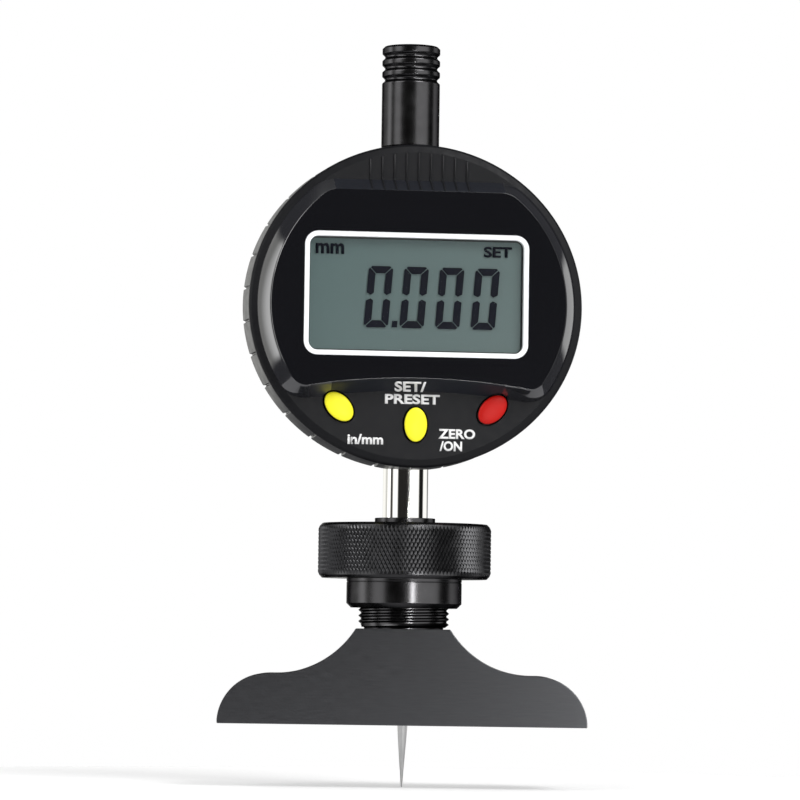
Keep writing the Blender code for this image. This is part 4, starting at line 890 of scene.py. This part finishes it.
def make_ribs():
    """The nine upright ribs from the case's top down to the window, in a lighter finish than the face that
    paints their highlight.
    """
    shape = bmesh.new()
    inner = COVER_RADIUS - COVER_RIM
    root = RIM_FRONT - GAP
    for i in range(RIB_COUNT):
        x = (i - (RIB_COUNT - 1) / 2) * RIB_PITCH
        top = math.sqrt(inner ** 2 - x ** 2) * HEAD_OVAL_SHARE
        stations = [(top - RIB_LINE_HEIGHT * down, share) for down, share in RIB_TOP]
        stations += [(WINDOW_TOP + RAMP_WIDTH * out, share) for out, share in RIB_FOOT]
        rings = []
        for z, share in stations:
            crest = RIM_FRONT + ramp_height(x, z) + RIB_LINE_HEIGHT * share
            section = [(place, crest - drop * RIB_LINE_HEIGHT * share) for place, drop in RIB_SECTION]
            rings.append([shape.verts.new((x + place * RIB_LINE_WIDTH, z, forward))
                          for place, forward in [(-0.5, root), *section, (0.5, root)]])
        skin(shape, rings)
    # The ribs' lighter colour is a painted highlight
    wear(new_object("face_ribs", shape, FACE), "rib", "head", [], angle=SHARP_RIBS)


def pane(grow, corner=FRAME_CORNER, steps=PANE_STEPS):
    """An outline round the display, wider than the frame on every side."""
    width, height = FRAME_WIDTH + 2 * grow, FRAME_HEIGHT + 2 * grow
    return round_rectangle(width, height, corner, (DISPLAY_X, DISPLAY_Z), steps)


def make_window():
    """The glossy window with its sloping edge, its white frame and its clear lens."""
    shoulder = WINDOW_FRONT - WINDOW_LIP
    step = WINDOW_LIP * WINDOW_LIP_STEP
    top, foot = window_outline(RAMP_WIDTH * WINDOW_LIP / RAMP_HEIGHT), window_outline(RAMP_WIDTH)
    sections = [(window_outline(-WINDOW_LIP), WINDOW_FRONT), (window_outline(-step), WINDOW_FRONT - step)]
    for k in range(RAMP_STEPS + 1):
        down = k / RAMP_STEPS
        outline = []
        for (x, z), (foot_x, foot_z) in zip(top, foot):
            side = min(max((abs(x) - RAMP_DULL_X) / (RAMP_GLOSS_X - RAMP_DULL_X), 0), 1)
            out = down + side * RAMP_BULGE_SHARE * 4 * down * (1 - down)
            outline.append((x + (foot_x - x) * out, z + (foot_z - z) * out))
        sections.append((outline, shoulder + (RIM_FRONT - shoulder) * down))
    window = loft("window", sections, FACE)
    cut_button_holes(window)
    cut(window, display_block(RIM_FRONT - OVERRUN, WINDOW_BACK - GAP))
    cut(window, prism(pane(FRAME_CLEARANCE), WINDOW_BACK - OVERRUN, WINDOW_FRONT + OVERRUN, FACE))
    wear(window, "window", "head", ["window_panel"], angle=SHARP_WINDOW)
    for look in ("ramp", "ramp_dull"):
        window.data.materials.append(LOOKS[look].material)
    for face in window.data.polygons:
        if RAMP_FACING[0] < face.normal.dot(FORWARD) < RAMP_FACING[1]:
            aside = abs((face.center - FACE.translation).dot(ACROSS))
            # The slopes above and below take ramp_dull, whose lighter, bluer colour is a painted reflection
            face.material_index = 1 if aside > RAMP_DULL_X else 2
    inner = FRAME_CORNER - FRAME_BAND
    sight = pane(-FRAME_BAND, inner)
    rim = plate("frame_band", pane(0), WINDOW_BACK, WINDOW_FRONT - FRAME_INSET, FACE, [sight])
    soften(rim, EDGE_FINE)
    wear(rim, "frame_white", "head", ["display_frame"])
    lens = plate("lens", pane(-FRAME_BAND - GAP / 2, inner), WINDOW_BACK, WINDOW_FRONT - LENS_INSET, FACE)
    soften(lens, EDGE_TINY)
    wear(lens, "lens", "head", ["display_lens"])


def make_buttons():
    """Three domed oval buttons, black below the face where painted shade darkens the gap round them."""
    front = RIM_FRONT + BUTTON_PROUD
    shoulder = front - BUTTON_CROWN
    flange = FACE_BACK - GAP
    for name, place, tilt in button_places():
        sections = []
        for k in range(BUTTON_STEPS, -1, -1):
            angle = QUARTER * k / BUTTON_STEPS
            narrow = math.cos(angle * BUTTON_CROWN_REACH)
            outline = ellipse(BUTTON_HALF_WIDTH * narrow, BUTTON_HALF_LENGTH * narrow, BUTTON_ROUND)
            sections.append((outline, shoulder + BUTTON_CROWN * math.sin(angle)))
        lip = button_outline(BUTTON_FLANGE_LIP)
        sections += [(button_outline(0), flange), (lip, flange), (lip, flange - BUTTON_FLANGE)]
        button = loft(f"key_{name}", sections, button_pose(place, tilt))
        look = "red" if name == "right" else "yellow"
        wear(button, look, f"{name}_button", [f"button_{name}"])
        button.data.materials.append(LOOKS["rubber"].material)
        # Painted shade: the sides below the face take the black rubber finish, so the gap round each button
        # reads dark
        for face in button.data.polygons:
            if (face.center - FACE.translation).dot(FORWARD) < RIM_FRONT - GAP:
                face.material_index = 1


# Digits, labels and marks, in the face's frame
DIGIT_WIDTH = 0.00430
DIGIT_HEIGHT = 0.01075
DIGIT_STROKE = 0.00126
DIGIT_SLANT = 0.078
DIGIT_PITCH = 0.00629
DIGIT_MIDDLE = (0.00237, 0.00125)
DIGIT_CUT = 0.00045
DIGIT_GAP = 0.00012
DIGIT_WAIST = 0.00032
DIGIT_WAIST_SHARES = (0.55, 0.62, 0.3)
DIGIT_COUNT = 4
DIGIT_POINT = (-0.00468, -0.00405)
DIGIT_POINT_WIDTH = 0.00095
DIGIT_POINT_HEIGHT = 0.00115
DIGIT_LIFT = 0.00022
MARK_HEIGHT = 0.00003
# Sizes of the thin dark ring of painted shadow round the display glass
EDGE_SHADOW_LAP = 0.0002
EDGE_SHADOW_WIDTH = 0.00028
EDGE_SHADOW_CORNER = 0.0009
SLOPE_LEAN = -0.15
SLOPE_DROP = -0.074
SIGN_WEIGHT = 0.030
WORD_WEIGHT = 0.035

# Generic words on the display and on the face: piece, words, middle, width and height
SIGNS = [
    ("sign_unit", "mm", (-0.01572, 0.00950), 0.0050, 0.00185),
    ("sign_mode", "SET", (0.01395, 0.00955), 0.0050, 0.0019)]
WORDS = [
    ("word_unit", "in/mm", (-0.00880, -0.02360), 0.0063, 0.0018),
    ("word_set", "SET/", (-0.00095, -0.01424), 0.0056, 0.00185),
    ("word_preset", "PRESET", (-0.00060, -0.01645), 0.0097, 0.00175),
    ("word_zero", "ZERO", (0.00735, -0.02240), 0.0065, 0.00175),
    ("word_on", "/ON", (0.00632, -0.02455), 0.0040, 0.00175)]


def segment_outlines():
    """The six lit segments of a nought, as outlines from its lower left corner."""
    w, h, t, c, g = DIGIT_WIDTH, DIGIT_HEIGHT, DIGIT_STROKE, DIGIT_CUT, DIGIT_GAP
    inner, turn, outer = (t * share for share in DIGIT_WAIST_SHARES)
    top = [(c + g, h), (w - c - g, h), (w - c / 2 - g, h - c / 2), (w - t - g, h - t), (t + g, h - t),
           (c / 2 + g, h - c / 2)]
    upper_left = [(0, h - c - g), (c / 2, h - c / 2 - g), (t, h - t - g), (t, h / 2 + inner),
                  (turn, h / 2 + DIGIT_WAIST), (0, h / 2 + DIGIT_WAIST + outer)]
    bottom, lower_left = ([(x, h - y) for x, y in outline] for outline in (top, upper_left))
    upper_right, lower_right = ([(w - x, y) for x, y in outline] for outline in (upper_left, lower_left))
    return [top, upper_left, lower_left, bottom, lower_right, upper_right]


def make_digits():
    """The display glass, a dark ring at its edge that paints the shadow of the frame's inner wall, and the
    reading on it.
    """
    glass = plate("glass", pane(LCD_LAP, GLASS_CORNER, 3), LCD_FRONT - LCD_THICKNESS, LCD_FRONT, FACE)
    wear(glass, "lcd", "head", ["lcd_panel"])
    # A thin dark ring just inside the frame: painted shadow of the frame's inner wall on the glass
    outer, inner = (pane(grow - FRAME_BAND, EDGE_SHADOW_CORNER) for grow in (EDGE_SHADOW_LAP, -EDGE_SHADOW_WIDTH))
    low = LCD_FRONT + MARK_HEIGHT
    border = plate("glass_edge_shadow", outer, low, low + MARK_HEIGHT, FACE, [inner])
    wear(border, "border", "head", [], flat=True)
    outlines = []
    low = DIGIT_MIDDLE[1] - DIGIT_HEIGHT / 2
    first = DIGIT_MIDDLE[0] - ((DIGIT_COUNT - 1) * DIGIT_PITCH + DIGIT_WIDTH + DIGIT_SLANT * DIGIT_HEIGHT) / 2
    for i in range(DIGIT_COUNT):
        left = first + i * DIGIT_PITCH
        for outline in segment_outlines():
            outlines.append([(left + x + DIGIT_SLANT * y, low + y) for x, y in outline])
    left, foot = DIGIT_POINT
    w, h = DIGIT_POINT_WIDTH, DIGIT_POINT_HEIGHT
    outlines.append([(left + x + DIGIT_SLANT * y, foot + y) for x, y in ((0, 0), (w, 0), (w, h), (0, h))])
    shape = bmesh.new()
    low = LCD_FRONT + DIGIT_LIFT
    for outline in outlines:
        skin(shape, [[shape.verts.new((x, y, z)) for x, y in outline] for z in (low, low + MARK_HEIGHT)])
    wear(new_object("digits", shape, FACE), "digit", "head", [], flat=True)


def label(name, words, centre, width, height, forward, look, weight, sloping=False):
    """Words fitted to a box, as a thin mesh on the surface or on the ramp below the window."""
    text = bpy.data.curves.new(name + "_text", 'FONT')
    text.body = words
    text.size = 1.0
    text.offset = weight
    text.resolution_u = LETTER_STEPS
    drawn = put(name + "_text", text)
    mesh = settled(drawn)
    bpy.data.objects.remove(drawn, do_unlink=True)
    xs = [vert.co.x for vert in mesh.vertices]
    ys = [vert.co.y for vert in mesh.vertices]
    scale = Matrix.Diagonal((width / (max(xs) - min(xs)), height / (max(ys) - min(ys)), 1, 1))
    middle = Matrix.Translation((-(max(xs) + min(xs)) / 2, -(max(ys) + min(ys)) / 2, 0))
    mesh.transform(Matrix.Translation((*centre, forward)) @ scale @ middle)
    shape = bmesh.new()
    shape.from_mesh(mesh)
    grown = bmesh.ops.extrude_face_region(shape, geom=shape.faces[:])
    raised = [part for part in grown["geom"] if isinstance(part, bmesh.types.BMVert)]
    bmesh.ops.translate(shape, verts=raised, vec=(0, 0, MARK_HEIGHT))
    for vert in shape.verts if sloping else ():
        rise = ramp_height(vert.co.x, vert.co.y)
        vert.co += Vector((SLOPE_LEAN * rise, SLOPE_DROP * rise, rise + MARK_HEIGHT))
    wear(new_object(name, shape, FACE), look, "head", [], flat=True)


def make_labels():
    """Generic words on the display and on the face, one of them on the slope below the window."""
    for row in SIGNS:
        label(*row, LCD_FRONT + DIGIT_LIFT, "digit", SIGN_WEIGHT)
    for row in WORDS:
        label(*row, RIM_FRONT, "label_white", WORD_WEIGHT, sloping=row[0] == "word_set")


def make_back():
    """The back cover, its cross head screws and the battery cap with its coin slot."""
    plate_front = -SHELL_DEPTH_BACK - GAP
    back = plate_front - BACK_THICKNESS
    profile = [(0, plate_front), (BACK_RADIUS, plate_front), (BACK_RADIUS, back), (0, back)]
    cover = lathe("back_plate", profile, FACE @ OVAL, steps=CASE, closed=False, edge=BACK_EDGE)
    sink = back + COVER_SCREW_SINK
    hole = BATTERY_CAP_RADIUS + GAP
    cut(cover, rod(hole, back - OVERRUN, plate_front + OVERRUN, FACE, (BATTERY_X, 0), FINE))
    for i, (x, z) in enumerate(post_places()):
        cut(cover, rod(SCREW_HEAD_RADIUS + GAP, back - OVERRUN, sink, FACE, (x, z)))
        cut(cover, rod(COVER_SCREW_RADIUS + GAP, back - OVERRUN, plate_front + OVERRUN, FACE, (x, z), TINY))
        top = SCREW_HEAD_HEIGHT
        profile = [
            (0, top), (SCREW_HEAD_RADIUS * 2 / 3, top), (SCREW_HEAD_RADIUS, top / 2), (SCREW_HEAD_RADIUS, 0),
            (COVER_SCREW_RADIUS, 0), (COVER_SCREW_RADIUS, -COVER_SCREW_LENGTH), (0, -COVER_SCREW_LENGTH)]
        pose = FACE @ Matrix.Translation((x, z, sink - GAP)) @ Matrix.Rotation(math.pi, 4, 'X')
        pose = pose @ Matrix.Rotation(SCREW_TURN * i, 4, 'Z')
        screw = lathe(f"screw_{i + 1}", profile, pose, SMALL, False, EDGE_SOFT)
        for arm in ((RECESS_WIDTH, RECESS_LENGTH), (RECESS_LENGTH, RECESS_WIDTH)):
            cut(screw, block((*arm, RECESS_HEIGHT), (0, 0, top), pose))
        wear(screw, "steel", "head", [f"cover_screw_{i + 1}"])
    soften(cover, EDGE_FINE)
    wear(cover, "case", "head", ["back_cover"])
    spot = FACE @ Matrix.Translation((BATTERY_X, 0, 0))
    cell_back = -SHELL_DEPTH_BACK + BATTERY_CAP_SPIGOT
    profile = [
        (0, cell_back - GAP), (BATTERY_RADIUS, cell_back - GAP), (BATTERY_RADIUS, plate_front),
        (BATTERY_CAP_RADIUS, plate_front), (BATTERY_CAP_RADIUS, back), (0, back)]
    cap = lathe("battery_lid", profile, spot, FINE, False, EDGE_SOFT)
    slot = round_rectangle(COIN_SLOT_LENGTH, COIN_SLOT_WIDTH, COIN_SLOT_CORNER, (0, 0))
    cut(cap, prism(slot, back - OVERRUN, back + COIN_SLOT_DEPTH, spot))
    soften(cap, EDGE_TINY)
    wear(cap, "case", "battery_door", ["battery_cap"])


def make_cap():
    """The dust cap with its three rounded grooves."""
    low, top = heights("dust_cap", HEAD_Z)
    profile = [(0, top), (CAP_RADIUS - CAP_TOP_CHAMFER, top), (CAP_RADIUS, top - CAP_TOP_CHAMFER)]
    first = top - CAP_FIRST_RIDGE
    for i in range(CAP_RIDGES * CAP_WAVE_STEPS + 1):
        wave = max(0.0, 1 - CAP_WAVE_RISE * (1 + math.cos(math.tau * i / CAP_WAVE_STEPS)) / 2)
        profile.append((CAP_RADIUS - CAP_GROOVE_DEPTH * wave, first - i * CAP_RIDGE_PITCH / CAP_WAVE_STEPS))
    inside = top - CAP_TOP_WALL
    tail = [(CAP_RADIUS, low), (CAP_BORE_RADIUS, low), (CAP_BORE_RADIUS, inside), (0, inside)]
    profile += rounded([profile[-1]] + tail, EDGE_SOFT, False)[1:]
    cap = lathe("cap_barrel", profile, HEAD, closed=False)
    wear(cap, "black_oxide", "cap", ["dust_cap"])


def make_spring():
    """The return spring."""
    low, top = heights("return_spring")
    shape = bmesh.new()
    rings = []
    count = SPRING_TURNS * SPRING_POINTS
    for i in range(count + 1):
        angle = math.tau * i / SPRING_POINTS
        height = low + SPRING_WIRE + (top - low - 2 * SPRING_WIRE) * i / count
        wire = ellipse(SPRING_WIRE, SPRING_WIRE, SPRING_SIDES)
        rings.append([shape.verts.new(polar(SPRING_RADIUS + out, angle, height + up)) for out, up in wire])
    skin(shape, rings)
    spring = new_object("spring_coil", shape, AXIS)
    wear(spring, "steel", "head", ["return_spring"], angle=SHARP_SPRING)
    spring.modifiers.clear()
    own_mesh(spring)


def dress_inner():
    """Finishes for the nodes of the frame that stay as they are."""
    looks = {
        "brass": ["thrust_washer", "stem_bush", "battery_contact", "upper_bush"],
        "steel": ["battery", "stop_collar", "guide_pin", "spindle_rod", "dome_switch_left",
                  "dome_switch_middle", "dome_switch_right", "board_screw_1", "board_screw_2"],
        "rubber": ["case_seal", "zebra_strip_upper", "zebra_strip_lower", "stop_bumper", "cap_o_ring"],
        "board": ["circuit_board", "scale_strip"],
        "white_plastic": ["battery_holder", "lcd_holder", "guide_rail", "scale_carrier"]}
    for look, names in looks.items():
        for name in names:
            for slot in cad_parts[name].material_slots:
                slot.material = LOOKS[look].material


# Studio: camera, floor, lights and surroundings
CAMERA_PLACE = (0.00618, -0.7915, 0.0150)
CAMERA_YAW = math.radians(0.527)
CAMERA_PITCH = math.radians(3.040)
CAMERA_ROLL = math.radians(0.790)
CAMERA_LENS = 203.175
CAMERA_SENSOR = 36
FLOOR_RADIUS = 0.13
FLOOR_STEPS = 96
FLOOR_DROP = 0.0001
FLOOR_MIRRORED = (0.56, 0.56, 0.58, 1)
FLOOR_LIFT = 0.30
SOFT_LIGHT = 0.60
WHITE = (1, 1, 1, 1)
STUDIO_OUTSIDE = (0.075, 0.075, 0.082, 1)
STUDIO_MIDDLE = 0.07
STUDIO_FADE = (-0.02, 0.03)

# How high the studio reaches, by X + Y of the direction: from, to, height from, height to
STUDIO_REACH = (-0.2, 1.0, 0.44, 0.21)

# What gloss reflects round the object, from behind by its left and the front: angle, level and tint
CLEAR, GREY, DARK = (1, 1, 1), (1, 1, 0.97), (1, 0.95, 0.9)
STUDIO_STOPS = [
    (-180, 0.95, GREY), (-158, 0.95, GREY), (-150, 1.2, GREY), (-126, 1.2, GREY), (-114, 0.74, GREY),
    (-106, 0.74, GREY), (-96, 2.3, CLEAR), (-86, 2.3, CLEAR), (-80, 0.10, DARK), (-70, 0.06, DARK),
    (-63, 1.45, CLEAR), (-42, 1.45, CLEAR), (-36, 0.022, DARK), (20, 0.022, DARK), (24, 1.45, CLEAR),
    (70, 1.45, CLEAR), (77, 0.012, CLEAR), (100, 0.012, CLEAR), (106, 1.25, CLEAR), (139, 1.2, CLEAR),
    (148, 0.22, CLEAR), (180, 0.20, CLEAR)]


def make_camera():
    """The camera at the photograph's angle."""
    data = bpy.data.cameras.new("camera")
    data.lens = CAMERA_LENS
    data.sensor_width = CAMERA_SENSOR
    data.clip_start = 0.01
    data.clip_end = 20
    camera = put("camera", data)
    aimed = Matrix.Rotation(CAMERA_YAW, 4, 'Z') @ Matrix.Rotation(QUARTER + CAMERA_PITCH, 4, 'X')
    camera.matrix_world = Matrix.Translation(CAMERA_PLACE) @ aimed @ Matrix.Rotation(CAMERA_ROLL, 4, 'Z')
    bpy.context.scene.camera = camera


def area_light(name, place, aim, size, power):
    """A square soft light that looks at a point."""
    data = bpy.data.lights.new(name, 'AREA')
    data.shape = 'RECTANGLE'
    data.size = data.size_y = size
    data.energy = power
    light = put(name, data)
    light.location = place
    light.rotation_euler = (Vector(aim) - Vector(place)).to_track_quat('-Z', 'Y').to_euler()


def studio_levels(tree):
    """Soft boxes and dark gaps round the object, fading above and below."""
    parts = node(tree, "SeparateXYZ", node(tree, "TexCoord").outputs["Generated"]).outputs
    angle = calc(tree, 'ARCTAN2', parts["X"], calc(tree, 'MULTIPLY', parts["Y"], -1))
    ramp = node(tree, "ValToRGB", node(tree, "MapRange", angle, -math.pi, math.pi).outputs["Result"])
    band = ramp.color_ramp
    for place, (degrees, level, tint) in enumerate(STUDIO_STOPS):
        if 0 < place < len(STUDIO_STOPS) - 1:
            mark = band.elements.new((degrees + 180) / 360)
        else:
            mark = band.elements[0 if place == 0 else -1]
        mark.color = (*(level * part for part in tint), 1)
    height = calc(tree, 'ABSOLUTE', calc(tree, 'SUBTRACT', parts["Z"], STUDIO_MIDDLE))
    limit = node(tree, "MapRange", calc(tree, 'ADD', parts["X"], parts["Y"]), *STUDIO_REACH)
    over = calc(tree, 'SUBTRACT', height, limit.outputs["Result"])
    fade = node(tree, "MapRange", over, *STUDIO_FADE).outputs["Result"]
    mix = node(tree, "Mix", data_type='RGBA', Factor=fade, A=ramp.outputs["Color"], B=STUDIO_OUTSIDE)
    return mix.outputs["Result"]


def make_world():
    """White for the camera, plain soft light for diffuse surfaces, the studio for gloss."""
    world = bpy.data.worlds.new("studio")
    bpy.context.scene.world = world
    world.use_nodes = True
    tree = world.node_tree
    tree.nodes.clear()
    path = node(tree, "LightPath").outputs
    mirror, soft, white = (
        node(tree, "Background", Color=colour, Strength=strength).outputs["Background"]
        for colour, strength in ((studio_levels(tree), 1.0), (WHITE, SOFT_LIGHT), (WHITE, 1.0)))
    gloss = calc(tree, 'MAXIMUM', path["Is Glossy Ray"], path["Is Transmission Ray"])
    first = node(tree, "MixShader", gloss, soft, mirror).outputs["Shader"]
    second = node(tree, "MixShader", path["Is Camera Ray"], first, white).outputs["Shader"]
    node(tree, "OutputWorld", Surface=second)


def make_floor():
    """A pale floor that keeps the shadow and is darker where gloss reflects it."""
    shape = bmesh.new()
    rim = ellipse(FLOOR_RADIUS, FLOOR_RADIUS, FLOOR_STEPS)
    shape.faces.new([shape.verts.new((x, y, FLOOR_Z - FLOOR_DROP)) for x, y in rim])
    floor = new_object("floor", shape)
    made = Finish("floor_pale", (0.90, 0.90, 0.90), 0.6)
    grain = made.noise(900)
    made.bump(grain, 0.00001)
    pale = made.tinted(grain, (0.89, 0.89, 0.89), (0.91, 0.91, 0.91))
    tree = made.tree
    path = node(tree, "LightPath").outputs
    mirrored = node(tree, "Mix", data_type='RGBA', Factor=path["Is Glossy Ray"], A=pale, B=FLOOR_MIRRORED)
    made.link(mirrored.outputs["Result"], "Base Color")
    strength = calc(tree, 'MULTIPLY', path["Is Camera Ray"], FLOOR_LIFT)
    lift = node(tree, "Emission", Color=WHITE, Strength=strength)
    both = node(tree, "AddShader", made.shader.outputs["BSDF"], lift.outputs["Emission"])
    tree.links.new(both.outputs["Shader"], tree.nodes["Material Output"].inputs["Surface"])
    floor.data.materials.append(made.material)


def make_lights():
    """Soft studio light from above, from both sides and from low in front."""
    aim = (0, 0.008, 0.07)
    area_light("key", (0.42, -0.50, 0.62), aim, 0.40, 4.0)
    area_light("fill", (-0.55, -0.50, 0.55), aim, 0.5, 1.6)
    area_light("low", (0.13, -0.40, 0.02), (0.02, 0, 0.01), 0.05, 0.32)


bpy.context.scene.view_settings.view_transform = 'Standard'
for make in (make_bridge, make_boss, make_clamp, make_stem, make_shell, make_band, make_cover, make_ribs,
             make_window, make_buttons, make_digits, make_labels, make_back, make_cap, make_spring,
             dress_inner, make_camera, make_world, make_floor, make_lights):
    make()
